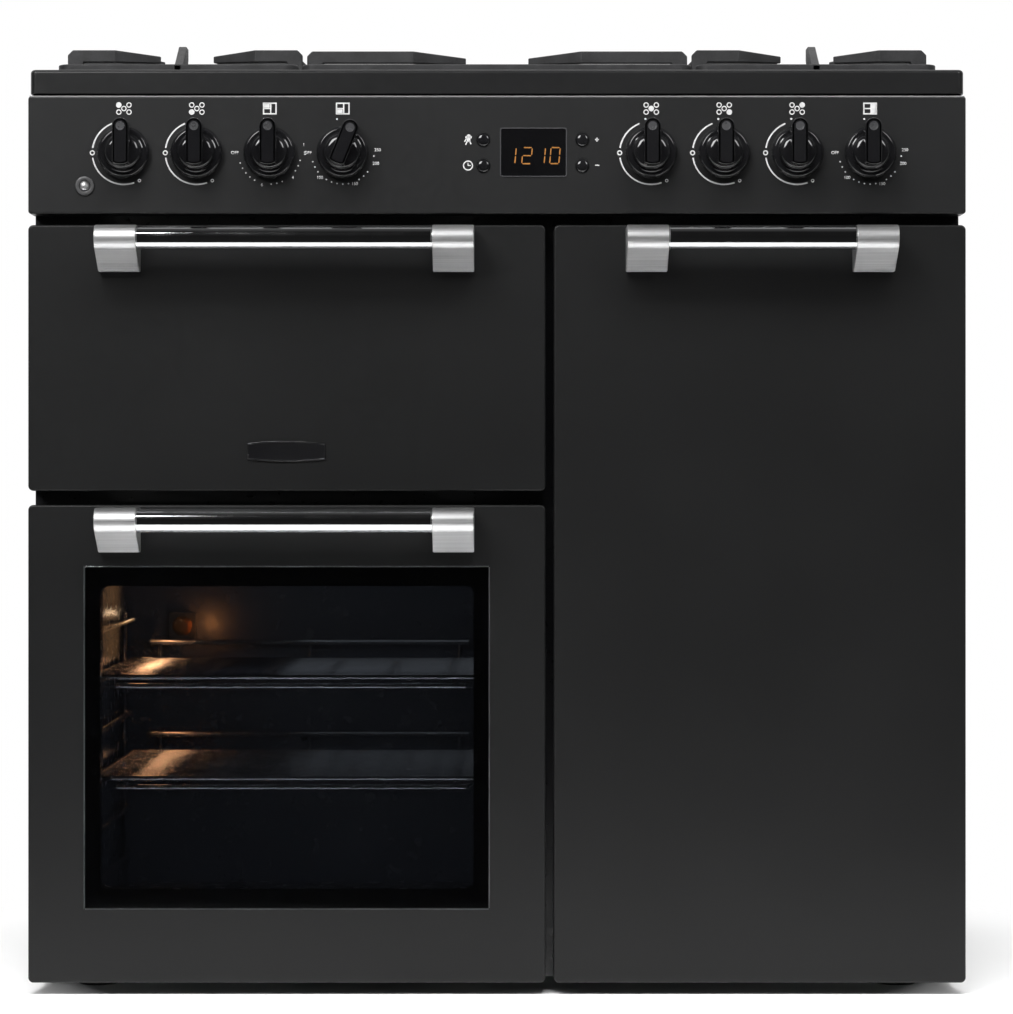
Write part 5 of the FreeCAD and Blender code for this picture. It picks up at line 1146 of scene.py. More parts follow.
@dataclass
class OvenWindow:
    """The black printed glass of the main oven's door, clear in its middle.

    Attributes:
        middle: Middle in X.
        level: Middle in Z.
        width: Width of the outer pane.
        tall: Height of the outer pane.
        view_width: Width of the clear field.
        view_tall: Height of the clear field.
        corner: Radius of the clear field's corners.
        face: Front plane of the pane.
        thick: Thickness of a pane.
        rear: Rear plane of the door.
        rim: How far the inner pane reaches past the clear field.
    """

    middle: float = LEFT_MIDDLE
    level: float = 247.25
    width: float = 389.5
    tall: float = 329.5
    view_width: float = 358.5
    view_tall: float = 291
    corner: float = 8
    face: float = FRONT
    thick: float = 4
    rear: float = DOOR_REAR
    rim: float = 12

    def build(self) -> None:
        """Models the panes, the printed border, the ground edges and the spacer."""
        panes = [self.pane("outer_window_pane", self.width, self.tall, self.face),
                 self.pane("inner_window_pane", self.view_width + 2 * self.rim,
                           self.view_tall + 2 * self.rim, self.rear - self.thick)]
        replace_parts(panes[0], "oven_door_glass")
        self.border("black_glass_border", self.width - 2.4, self.tall - 2.4,
                    self.face + 0.25)
        self.border("inner_glass_border", self.view_width + 2 * self.rim - 2,
                    self.view_tall + 2 * self.rim - 2, self.rear - self.thick + 0.3)
        self.edge_line()
        self.liner()

    def pane(self, name: str, width: float, tall: float, front: float) -> Item:
        """Models a pane of glass with eased edges.

        Args:
            name: Name of the piece.
            width: Width of the pane.
            tall: Height of the pane.
            front: Front plane in Y.

        Returns:
            The finished pane.
        """
        work = Work.box(name, (self.middle - width / 2, front, self.level - tall / 2),
                        (self.middle + width / 2, front + self.thick, self.level + tall / 2))
        work.edges(lambda at, way: abs(way.y) > 0.9).bevel(2.5, 4)
        work.sharp_edges(lambda at, way: abs(way.y) < 0.5).bevel(0.5, 2)
        return work.done(WINDOW, "oven_door", "window_glass", smooth=None)

    def field_outline(self, grow: float, y: float) -> list[Point]:
        """Returns the rounded outline of the clear field, grown by a margin."""
        radius = max(self.corner + grow, 1)
        half_x = self.view_width / 2 + grow - radius
        half_z = self.view_tall / 2 + grow - radius
        points: list[Point] = []
        for start, sx, sz in ((0, 1, 1), (90, -1, 1), (180, -1, -1), (270, 1, -1)):
            centre = (self.middle + sx * half_x, self.level + sz * half_z)
            points += [(x, y, z) for x, z in arc_points(centre, radius, start, start + 90, 8)]
        return points

    def border(self, name: str, width: float, tall: float, y: float) -> None:
        """Models the black frame printed on a pane, with rounded inner corners.

        Args:
            name: Name of the piece.
            width: Outer width.
            tall: Outer height.
            y: Front plane.
        """
        half_x, half_z = width / 2, tall / 2
        work = Work.plate(name, [(self.middle + x * half_x, y, self.level + z * half_z)
                                 for x, z in CORNERS])
        inset = 10
        work.inset(inset)
        work.grow(self.view_width / (width - 2 * inset), 1,
                  self.view_tall / (tall - 2 * inset), (self.middle, y, self.level))
        work.bevel(self.corner, 8, points=True)
        work.faces(lambda at, way: abs(at.x - self.middle) < 1 and abs(at.z - self.level) < 1)
        bpy.ops.mesh.delete(type="FACE")
        work.all().extrude(y=0.3).close()
        work.done(BORDER, "oven_door", "gloss_black", smooth=None)

    def edge_line(self) -> None:
        """Models the ground edge that shows as a thin pale line round the glass."""
        outer_w, outer_t = self.width / 2, self.tall / 2
        for name, x, z, w, t in (
                ("window_edge_top", 0, outer_t - 0.6, outer_w - 1, 0.6),
                ("window_edge_low", 0, 0.6 - outer_t, outer_w - 1, 0.6),
                ("window_edge_left", 0.6 - outer_w, 0, 0.6, outer_t - 1),
                ("window_edge_right", outer_w - 0.6, 0, 0.6, outer_t - 1)):
            work = Work.box(name, (self.middle + x - w, self.face + 0.12, self.level + z - t),
                            (self.middle + x + w, self.face + 3.6, self.level + z + t))
            work.sharp_edges().bevel(0.15, 1)
            work.done(EDGE_GLASS, "oven_door", "window_glass", smooth=None)

    def liner(self) -> None:
        """Models the dark spacer frame between the two panes."""
        y = self.face + self.thick + 0.2
        deep = self.rear - self.thick - 0.4 - y
        work = Work.line("window_spacer", self.field_outline(2.2, y))
        bpy.ops.mesh.edge_face_add()
        bpy.ops.mesh.delete(type="ONLY_FACE")
        work.all().extrude(y=deep)
        work.done(FRAME_ENAMEL, "oven_door", "black_enamel", smooth=40)
        modify(work.item, "SOLIDIFY", thickness=0.8 * MM, offset=1)


@dataclass
class Badge:
    """The bare raised plate low on the grill door.

    Attributes:
        x: Middle in X.
        z: Middle in Z.
        width: Width of the plate.
        tall: Height of the plate.
        face: Plane of the door's front.
    """

    x: float = -202
    z: float = 522
    width: float = 75
    tall: float = 20
    face: float = FRONT

    def outline(self, y: float) -> list[Point]:
        """Returns the plate's outline: bowed top and bottom, clipped ends."""
        half, rise = self.width / 2, self.tall / 2
        points: list[Point] = []
        for sign in (1, -1):
            steps = [half * (1 - 2 * part / 12) * sign for part in range(13)]
            points += [(self.x + x, y, self.z + sign * (rise * 0.78 + rise * 0.22
                                                        * (1 - (x / half) ** 2)))
                       for x in steps]
        return points

    def build(self) -> None:
        """Models the plate with its raised bright rim."""
        work = Work.plate("badge_plate", self.outline(self.face - 0.02))
        work.extrude(y=-1.4).close()
        work.faces(lambda at, way: way.y < -0.99)
        work.inset(1.5).inset(0.35, -0.9)
        work.sharp_edges(lambda at, way: at.y < self.face - 0.4).bevel(0.22, 2)
        plate = work.done(KNOB, "grill_door", "gloss_black", smooth=30)
        plate.data.materials.append(BADGE_RIM.material())
        for face in plate.data.polygons:
            middle = face.center / MM
            rim = abs(face.normal.y) > 0.9 and middle.y < self.face - 1.2
            face.material_index = 1 if rim else 0
        LOG.info("badge plate has %d faces", len(plate.data.polygons))


@dataclass
class Doors:
    """What the three doors carry.

    Attributes:
        handles: The handle of each door.
        window: The main oven's window.
        badge: The plate on the grill door.
    """

    handles: list[Handle] = field(default_factory=lambda: [
        Handle("grill", LEFT_MIDDLE, 736.8, 360),
        Handle("oven", LEFT_MIDDLE, 468.1, 360),
        Handle("tall", TALL_MIDDLE, 736.8, 257.5),
    ])
    window: OvenWindow = field(default_factory=OvenWindow)
    badge: Badge = field(default_factory=Badge)

    def build(self) -> None:
        """Models and dresses everything that the doors carry."""
        for handle in self.handles:
            handle.build()
            LOG.info("%s handle is done", handle.door)
        self.window.build()
        self.badge.build()


# ------------------------------ control panel


class KnobKind(Enum):
    """What a knob turns."""

    GAS = "gas"
    OVEN = "oven"


Marks = tuple[tuple[str, float], ...]
# Numbers round an oven knob, each with its angle clockwise from the top, in degrees.
GRILL_SCALE: Marks = (("1", 76), ("2", 91), ("4", 139), ("6", 193), ("OFF", 270))
OVEN_SCALE: Marks = (("250", 85), ("200", 109), ("150", 160), ("100", 221), ("OFF", 270))


class Ring(Enum):
    """The places of a hob's rings in the five-ring symbol, in the symbol's units."""

    REAR_LEFT = (-1.0, 1.0)
    FRONT_LEFT = (-1.0, -1.0)
    CENTRE = (0.0, 0.0)
    FRONT_RIGHT = (1.0, -1.0)
    REAR_RIGHT = (1.0, 1.0)


@dataclass
class Knob:
    """A black knob: stepped skirt, dome and a beaked grip with a round inset.

    The knob is modelled at the origin about the Y axis and moved to its place.

    Attributes:
        skirt: Radius of the skirt.
        dome: Radius of the dome.
        gap: Distance from the panel to the skirt.
        dome_tall: Height of the dome.
        tall: Height of the grip.
        grip: Width of the grip.
        tail: Reach of the grip's tail.
        beak: Reach of the grip's beak.
        dot: Radius of the inset.
        face: Plane of the panel.
        level: Level of the knobs' axes.
        patterns: The knob's parts, modelled once.
    """

    skirt: float = 25
    dome: float = 17.5
    gap: float = 4
    dome_tall: float = 14
    tall: float = 32
    grip: float = 16
    tail: float = 14.5
    beak: float = 30.5
    dot: float = 4.25
    face: float = FRONT
    level: float = KNOB_LEVEL
    patterns: list[Item] = field(default_factory=list)

    def model(self) -> list[Item]:
        """Models the knob's parts once.

        Returns:
            The turned part with the grip, and the inset.
        """
        back = -self.gap
        turned = [(0.0, back), (self.skirt - 0.4, back), (self.skirt, back - 0.4),
                  (self.skirt, back - 2.6), (self.skirt - 0.5, back - 3.4),
                  (self.skirt - 1.9, back - 5.2), (self.skirt - 2.7, back - 5.9),
                  (self.skirt - 3.6, back - 6.1), (self.dome + 1.9, back - 5.7),
                  (self.dome + 1.0, back - 6.2), (self.dome + 0.5, back - 7.2),
                  (self.dome, back - 9.6), (self.dome - 0.6, back - 11.2),
                  (self.dome - 2.0, back - 12.8), (self.dome - 4.2, back - 13.8),
                  (self.dome - 6.0, back - self.dome_tall), (0.0, back - self.dome_tall)]
        work = Work.line("knob_turned", [(r, y, 0.0) for r, y in turned])
        work.spin(Axis.Y, (0, 0, 0), 72)
        base = work.rest(32)
        half = self.grip / 2
        beak = arc_points((0.0, self.beak - half), half, 0, 180, 20)
        tail = arc_points((0.0, 4.0), self.tail + 4.0, 204, 336, 10)
        outline = [(x, -self.gap - 4.0, z) for x, z in beak]
        outline += [(max(-half, min(half, x)), -self.gap - 4.0, z) for x, z in tail]
        work = Work.plate("knob_grip", outline)
        work.extrude(y=-(self.tall - 4.0)).close()
        work.sharp_edges(lambda at, way: abs(way.y) > 0.9).bevel(1.0, 2)
        front = -self.gap - self.tall
        work.faces(lambda at, way: way.y < -0.99).inset(1.0)
        work.sharp_edges(lambda at, way: abs(at.y - front) < 0.3).bevel(2.3, 4)
        grip = work.rest(30)
        dot_z = self.beak - half
        well = Work.rod("knob_well", Axis.Y, self.dot + 0.15, (0, front - 1, dot_z), 1.6, 40)
        modify(grip, "BOOLEAN", object=well.rest(), operation="DIFFERENCE", solver="EXACT")
        bpy.data.objects.remove(well.item)
        inset = Work.rod("knob_inset", Axis.Y, self.dot, (0, front + 0.12, dot_z), 0.6, 40)
        inset.faces(lambda at, way: way.y < -0.99)
        inset.inset(0.7).inset(0.35, -0.18)
        inset.rest(25)
        return [join("knob_pattern", [base, grip]), inset.item]

    def build(self, name: str, x: float, turn: float, stem: bool) -> None:
        """Copies the knob to its place on the panel.

        Args:
            name: Name of the CAD node and of the body.
            x: Place of the axis.
            turn: How far it is turned clockwise at rest, in degrees.
            stem: Whether the knob has a shaft of its own.
        """
        if not self.patterns:
            self.patterns = self.model()
        for pattern, label, finish in zip(self.patterns, ("cap", "inset"), (KNOB, DOT),
                                          strict=True):
            piece = copy(pattern, f"{name}_{label}")
            piece.data.transform(Matrix.Translation(metres((x, self.face, self.level)))
                                 @ Matrix.Rotation(math.radians(turn), 4, "Y"))
            settle(piece, finish, name)
            if label == "cap":
                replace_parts(piece, name)
        if stem:
            shaft = Work.rod(f"{name}_shaft", Axis.Y, 4, (x, self.face - self.gap - 1, self.level),
                             26, 32)
            shaft.sharp_edges().bevel(0.5, 2)
            shaft.done(BRACKET, name, "brushed_metal")

    def clear(self) -> None:
        """Removes the patterns that the copies came from."""
        for pattern in self.patterns:
            bpy.data.objects.remove(pattern)
        self.patterns = []


@dataclass
class Printing:
    """The white marks printed on the panel, as thin raised layers.

    Attributes:
        face: Plane of the panel.
        level: Level of the knobs' axes.
        symbol: Level of the symbols over the knobs.
        thick: How far a layer stands out.
        radius: Radius of a gas knob's arc.
        marks: Finished marks that wait to be joined.
    """

    face: float = FRONT
    level: float = KNOB_LEVEL
    symbol: float = 851
    thick: float = 0.06
    radius: float = 30.3
    marks: list[Item] = field(default_factory=list)

    def keep(self, work: Work) -> None:
        """Takes a mark off the bench and keeps it for the joined layer."""
        work.all().extrude(y=-self.thick).close()
        self.marks.append(work.rest())

    def shape(self, points: Iterable[Pair]) -> None:
        """Prints a filled outline given in X and Z."""
        self.keep(Work.plate("mark", [(x, self.face, z) for x, z in points]))

    def dot(self, x: float, z: float, radius: float, sides: int = 14) -> None:
        """Prints a filled round dot."""
        self.shape(arc_points((x, z), radius, 0, 360 - 360 / sides, sides - 1))

    def bar(self, x: float, z: float, width: float, tall: float, turn: float = 0) -> None:
        """Prints a filled bar, turned anticlockwise about its middle."""
        spin = math.radians(turn)
        corners = [(sx * width / 2, sz * tall / 2) for sx, sz in CORNERS]
        self.shape([(x + a * math.cos(spin) - b * math.sin(spin),
                     z + a * math.sin(spin) + b * math.cos(spin)) for a, b in corners])

    def arc(self, x: float, z: float, radius: float, stroke: float, start: float,
            end: float) -> None:
        """Prints part of a ring between two angles, in degrees."""
        steps = max(6, int(abs(end - start) / 6))
        outer = arc_points((x, z), radius + stroke / 2, start, end, steps)
        inner = arc_points((x, z), radius - stroke / 2, end, start, steps)
        self.shape(outer + inner)

    def circle(self, x: float, z: float, radius: float, stroke: float) -> None:
        """Prints a whole ring in two halves."""
        self.arc(x, z, radius, stroke, 0, 180)
        self.arc(x, z, radius, stroke, 180, 360)

    def frame(self, x: float, z: float, width: float, tall: float, stroke: float) -> None:
        """Prints the outline of a rectangle."""
        for sign in (-1, 1):
            self.bar(x + sign * (width - stroke) / 2, z, stroke, tall)
            self.bar(x, z + sign * (tall - stroke) / 2, width - 2 * stroke, stroke)

    def number(self, text: str, x: float, z: float, size: float) -> None:
        """Prints a plain number, centred."""
        clear_bench()
        bpy.ops.object.text_add(location=metres((x, self.face, z)),
                                rotation=(math.radians(90), 0, 0))
        label = bpy.context.object
        label.data.body = text
        label.data.size = size * MM
        label.data.align_x, label.data.align_y = "CENTER", "CENTER"
        label.data.offset = 0.05 * MM
        bpy.ops.object.convert(target="MESH")
        self.keep(Work("number").close())

    def gas_marks(self, x: float, ring: Ring) -> None:
        """Prints the arc and the five-ring symbol of a gas knob.

        Args:
            x: Place of the knob.
            ring: The ring that the knob serves, which is filled in.
        """
        for place in Ring:
            a, b = place.value
            at = (x + a * 4.9, self.symbol + b * 3.4)
            if place is ring:
                self.dot(*at, 2.7)
            else:
                self.circle(*at, 2.1, 0.95)
        self.arc(x, self.level, self.radius, 1.35, 112, 171)
        self.circle(x - self.radius, self.level, 1.9, 1.1)
        self.arc(x, self.level, self.radius, 1.35, 189, 289)
        self.circle(x + self.radius * 0.49, self.level - self.radius * 0.88, 1.25, 0.7)
        self.dot(x - 5.6, self.level + self.radius + 2.2, 1.0)

    def oven_marks(self, x: float, numbers: Marks,
                   filled: tuple[float, float, float, float],
                   start: float, end: float) -> None:
        """Prints the dots, numbers and three-part symbol of an oven knob.

        Args:
            x: Place of the knob.
            numbers: The numbers round the knob.
            filled: Filled field of the symbol: middle, width and height.
            start: Angle of the first dot.
            end: Angle past the last dot.
        """
        z = self.symbol
        self.frame(x, z, 13.2, 11.4, 1.25)
        self.bar(x + 0.9, z, 1.2, 9)
        self.bar(x - 2.8, z, 6.2, 1.1)
        dx, dz, width, tall = filled
        self.bar(x + dx, z + dz, width, tall)
        for text, angle in numbers:
            turn = math.radians(90 - angle)
            self.number(text, x + 33.6 * math.cos(turn), self.level + 31.6 * math.sin(turn), 4.2)
        angle = start
        while angle < end:
            if all(abs(angle - place) > 8 for _, place in numbers):
                turn = math.radians(90 - angle)
                self.dot(x + 30 * math.cos(turn), self.level + 30 * math.sin(turn), 0.75, 8)
            angle += 10.5
        self.dot(x - 5.6, self.level + self.radius + 2.2, 0.9, 10)

    def timer_marks(self) -> None:
        """Prints the cook and clock symbols and the plus and minus signs."""
        x, high, low = -27.8, 821.0, 796.3
        for dx, dz, radius in ((0.6, 3.3, 1.9), (-1.4, 2.4, 1.3), (2.5, 2.5, 1.3)):
            self.dot(x + dx, high + dz, radius)
        for dx, dz, *size in ((0.6, -0.2, 3.4, 3.6), (-1.5, -3.0, 1.2, 3.8, -24),
                              (2.2, -2.6, 1.2, 3.6, 24), (-2.6, -0.6, 1.1, 3.2, -38)):
            self.bar(x + dx, high + dz, *size)
        self.circle(x, low, 4.3, 1.05)
        self.bar(x, low + 1.3, 0.8, 2.8)
        self.bar(x + 1.3, low, 2.8, 0.8)
        for width, tall in ((3.6, 1.0), (1.0, 3.6)):
            self.bar(96.0, 821.2, width, tall)
        self.bar(96.2, 796.6, 4.2, 0.95)

    def build(self) -> None:
        """Prints everything and joins it to one layer."""
        first, second, grill, main, *others, tall = KNOBS_X
        for x, ring in zip((first, second, *others), Ring, strict=True):
            self.gas_marks(x, ring)
        self.oven_marks(grill, GRILL_SCALE, (-2.9, 2.9, 5.4, 4.2), 104, 258)
        self.oven_marks(main, OVEN_SCALE, (-2.9, -2.9, 5.4, 4.2), 96, 260)
        self.oven_marks(tall, OVEN_SCALE, (3.7, 0.0, 4.4, 9.2), 96, 260)
        self.timer_marks()
        layer = join("panel_printing", self.marks)
        settle(layer, PRINT, "cooker")
        self.marks = []


@dataclass
class Timer:
    """The timer's window with its display and four domed keys.

    Attributes:
        x: Middle of the window in X.
        z: Middle of the window in Z.
        width: Width of the window.
        tall: Height of the window.
        face: Plane of the panel.
    """

    x: float = 35
    z: float = 809
    width: float = 63
    tall: float = 46
    face: float = FRONT

    def build(self) -> None:
        """Models the window, the digits and the keys."""
        half_x, half_z = self.width / 2, self.tall / 2
        work = Work.box("display_window", (self.x - half_x, self.face - 0.35, self.z - half_z),
                        (self.x + half_x, self.face + 1.2, self.z + half_z))
        work.edges(lambda at, way: abs(way.y) > 0.9).bevel(2.2, 4)
        work.faces(lambda at, way: way.y < -0.99).inset(0.7).inset(0.5, -0.15)
        work.done(BORDER, "cooker", "gloss_black", smooth=30)
        self.bezel()
        self.digits()
        for name, x, z in (("timer_key_1", -13, 821), ("timer_key_2", -13, 796),
                           ("timer_key_3", 82, 821), ("timer_key_4", 82, 796)):
            self.key(name, x, z)

    def bezel(self) -> None:
        """Models the slim frame round the window."""
        half_x, half_z = self.width / 2 + 0.7, self.tall / 2 + 0.7
        corners = [(self.x + sx * half_x, self.face, self.z + sz * half_z)
                   for sx, sz in CORNERS]
        work = Work.plate("display_bezel", corners)
        work.bevel(2.8, 5, points=True)
        work.faces(lambda at, way: True).inset(1.1)
        bpy.ops.mesh.delete(type="FACE")
        work.all().extrude(y=-0.7).close()
        work.sharp_edges(lambda at, way: at.y < self.face - 0.5).bevel(0.25, 2)
        work.done(PLASTIC, "cooker", "case_plastic", smooth=30)

    def digits(self) -> None:
        """Models the seven-segment digits of the clock."""
        tall, wide, stroke, slant = 15.4, 8.8, 1.15, 0.09
        base = self.z - 3.2
        shapes = {"0": "abcdef", "1": "bc", "2": "abged"}
        lit: list[Item] = []
        for text, x in (("1", 13.4), ("2", 28.8), ("1", 41.5), ("0", 55.6)):
            for segment in shapes[text]:
                flat = segment in "agd"
                level = {"a": 1, "g": 0, "d": -1}.get(segment, 0.5 if segment in "bf" else -0.5)
                side = 0 if flat else (1 if segment in "bc" else -1)
                length = (wide if flat else tall / 2) - stroke * 1.2
                dx, dz = side * wide / 2, level * tall / 2
                lean = dz * slant
                size = (length, stroke) if flat else (stroke, length)
                at = (x + dx + lean, base + dz)
                points = [(at[0] + sx * size[0] / 2 + sz * size[1] / 2 * slant,
                           self.face - 0.22, at[1] + sz * size[1] / 2) for sx, sz in CORNERS]
                work = Work.plate("segment", points)
                work.bevel(0.35, 2, points=True)
                work.all().extrude(y=-0.1).close()
                lit.append(work.rest())
        settle(join("display_digits", lit), DIGITS, "cooker")

    def key(self, name: str, x: float, z: float) -> None:
        """Models one domed key in its collar.

        Args:
            name: Name of the CAD node and of the body.
            x: Place in X.
            z: Place in Z.
        """
        front = self.face
        steps = [(0.0, front - 2.8), (2.6, front - 2.7), (4.4, front - 2.35),
                 (5.6, front - 1.7), (6.2, front - 0.9), (6.5, front + 0.2),
                 (6.5, front + 2.2), (0.0, front + 2.2)]
        work = Work.line(f"{name}_dome", [(x + r, y, z) for r, y in steps])
        work.spin(Axis.Y, (x, 0, z), 40)
        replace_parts(work.done(KNOB, name, "gloss_black", smooth=45), name)


@dataclass
class ControlPanel:
    """Everything on the fascia: knobs, printing, timer and ignition button.

    Attributes:
        knob: The pattern of all the knobs.
        printing: The marks.
        timer: The timer.
        kinds: What each knob turns, from left to right.
        turned: How far a knob is turned clockwise at rest, in degrees, by its number.
        ignition_at: Middle of the ignition button in X and Z.
    """

    knob: Knob = field(default_factory=Knob)
    printing: Printing = field(default_factory=Printing)
    timer: Timer = field(default_factory=Timer)
    kinds: tuple[KnobKind, ...] = (*[KnobKind.GAS] * 2, *[KnobKind.OVEN] * 2,
                                   *[KnobKind.GAS] * 3, KnobKind.OVEN)
    turned: dict[int, float] = field(default_factory=lambda: {4: 22})
    ignition_at: Pair = (-395.5, 776.7)

    def build(self) -> None:
        """Models and dresses everything on the panel."""
        for number, (x, kind) in enumerate(zip(KNOBS_X, self.kinds, strict=True), 1):
            name = f"{kind.value}_knob_{number}"
            self.knob.build(name, x, self.turned.get(number, 0), kind is KnobKind.OVEN)
            LOG.info("%s is done", name)
        self.knob.clear()
        self.printing.build()
        self.timer.build()
        self.ignition()
        self.top_edge()

    def ignition(self) -> None:
        """Models the domed ignition button."""
        (x, z), face = self.ignition_at, FRONT
        steps = [(0.0, face - 4.6), (1.8, face - 4.45), (3.3, face - 3.9), (4.3, face - 3.0),
                 (4.75, face - 1.8), (4.75, face + 2.0), (0.0, face + 2.0)]
        work = Work.line("ignition_dome", [(x + r, y, z) for r, y in steps])
        work.spin(Axis.Y, (x, 0, z), 40)
        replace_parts(work.done(BRACKET, "ignition_button", "bright_chrome", smooth=45),
                    "ignition_button")
        washer = [(5.3, face - 1.3), (9.0, face - 1.3), (9.0, face - 1.45), (8.6, face - 1.68),
                  (7.2, face - 1.85), (5.8, face - 1.68), (5.3, face - 1.45), (5.3, face - 1.3)]
        work = Work.line("ignition_collar", [(x + r, y, z) for r, y in washer])
        work.spin(Axis.Y, (x, 0, z), 48)
        work.done(COLLAR, "cooker", "bright_chrome", smooth=45)

    def top_edge(self) -> None:
        """Models a pale strip along the panel's top edge, a painted highlight where the rounded
        edge catches the light.
        """
        work = Work.box("panel_edge_bead", (-448.5, -275.1, 861.6), (448.5, -273.5, 863.3))
        work.edges(lambda at, way: abs(way.x) > 0.9 and at.y < -275).bevel(0.7, 3)
        work.done(PAINTED_EDGE_HIGHLIGHT, "cooker", "satin_anthracite", smooth=50)


# ------------------------------ hob


@dataclass
class Burner:
    """A cast crown with flame ports under a loose enamelled cap.

    Attributes:
        x: Middle in X.
        y: Middle in Y.
        radius: Radius of the crown.
        ports: Number of flame ports.
        seat: Level of the hob's basin.
    """

    x: float
    y: float
    radius: float
    ports: int
    seat: float = BASIN

    def crown(self) -> Item:
        """Models the crown, with its ports cut in from the side.

        Returns:
            The crown, in object mode.
        """
        wall, cup = self.radius - 3, self.radius - 8
        steps = [(0, -18), (cup, -18), (cup, 0), (self.radius, 0.1), (self.radius, 3.2),
                 (self.radius - 0.8, 4), (wall + 0.8, 5.6), (wall, 6.6), (wall, 9), (wall, 15.2),
                 (wall, 16.8), (0, 16.8)]
        work = Work.line("crown", [(self.x + r, self.y, self.seat + z) for r, z in steps])
        work.spin(Axis.Z, (self.x, self.y, self.seat), self.ports * 2)
        step = 180 / self.ports

        def is_port(at: Vector, way: Vector) -> bool:
            around = math.degrees(math.atan2(at.y - self.y, at.x - self.x)) % 360
            level = 9 < at.z - self.seat < 15.2
            return level and abs(way.z) < 0.1 and int(around / step) % 2 == 0

        work.faces(is_port).inset(0.35, apart=True).inset(0.01, -3.4, apart=True)
        return work.rest(25)

    def cap(self) -> Item:
        """Models the cap: rounded rim, sloping shoulder and a flat top.

        Returns:
            The cap, in object mode.
        """
        rim = self.radius + 1
        steps = [(0, 17.05), (rim - 0.8, 17.05), (rim - 0.1, 17.5), (rim, 18.2), (rim, 19.2),
                 (rim - 0.4, 19.9), (rim - 1.2, 20.6), (self.radius - 3.2, 22.7),
                 (self.radius - 4.6, 23.3), (self.radius - 6.5, 23.6),
                 (self.radius * 0.62, 23.9), (0, 23.98)]
        work = Work.line("cap", [(self.x + r, self.y, self.seat + z) for r, z in steps])
        work.spin(Axis.Z, (self.x, self.y, self.seat), 72)
        return work.rest(32)


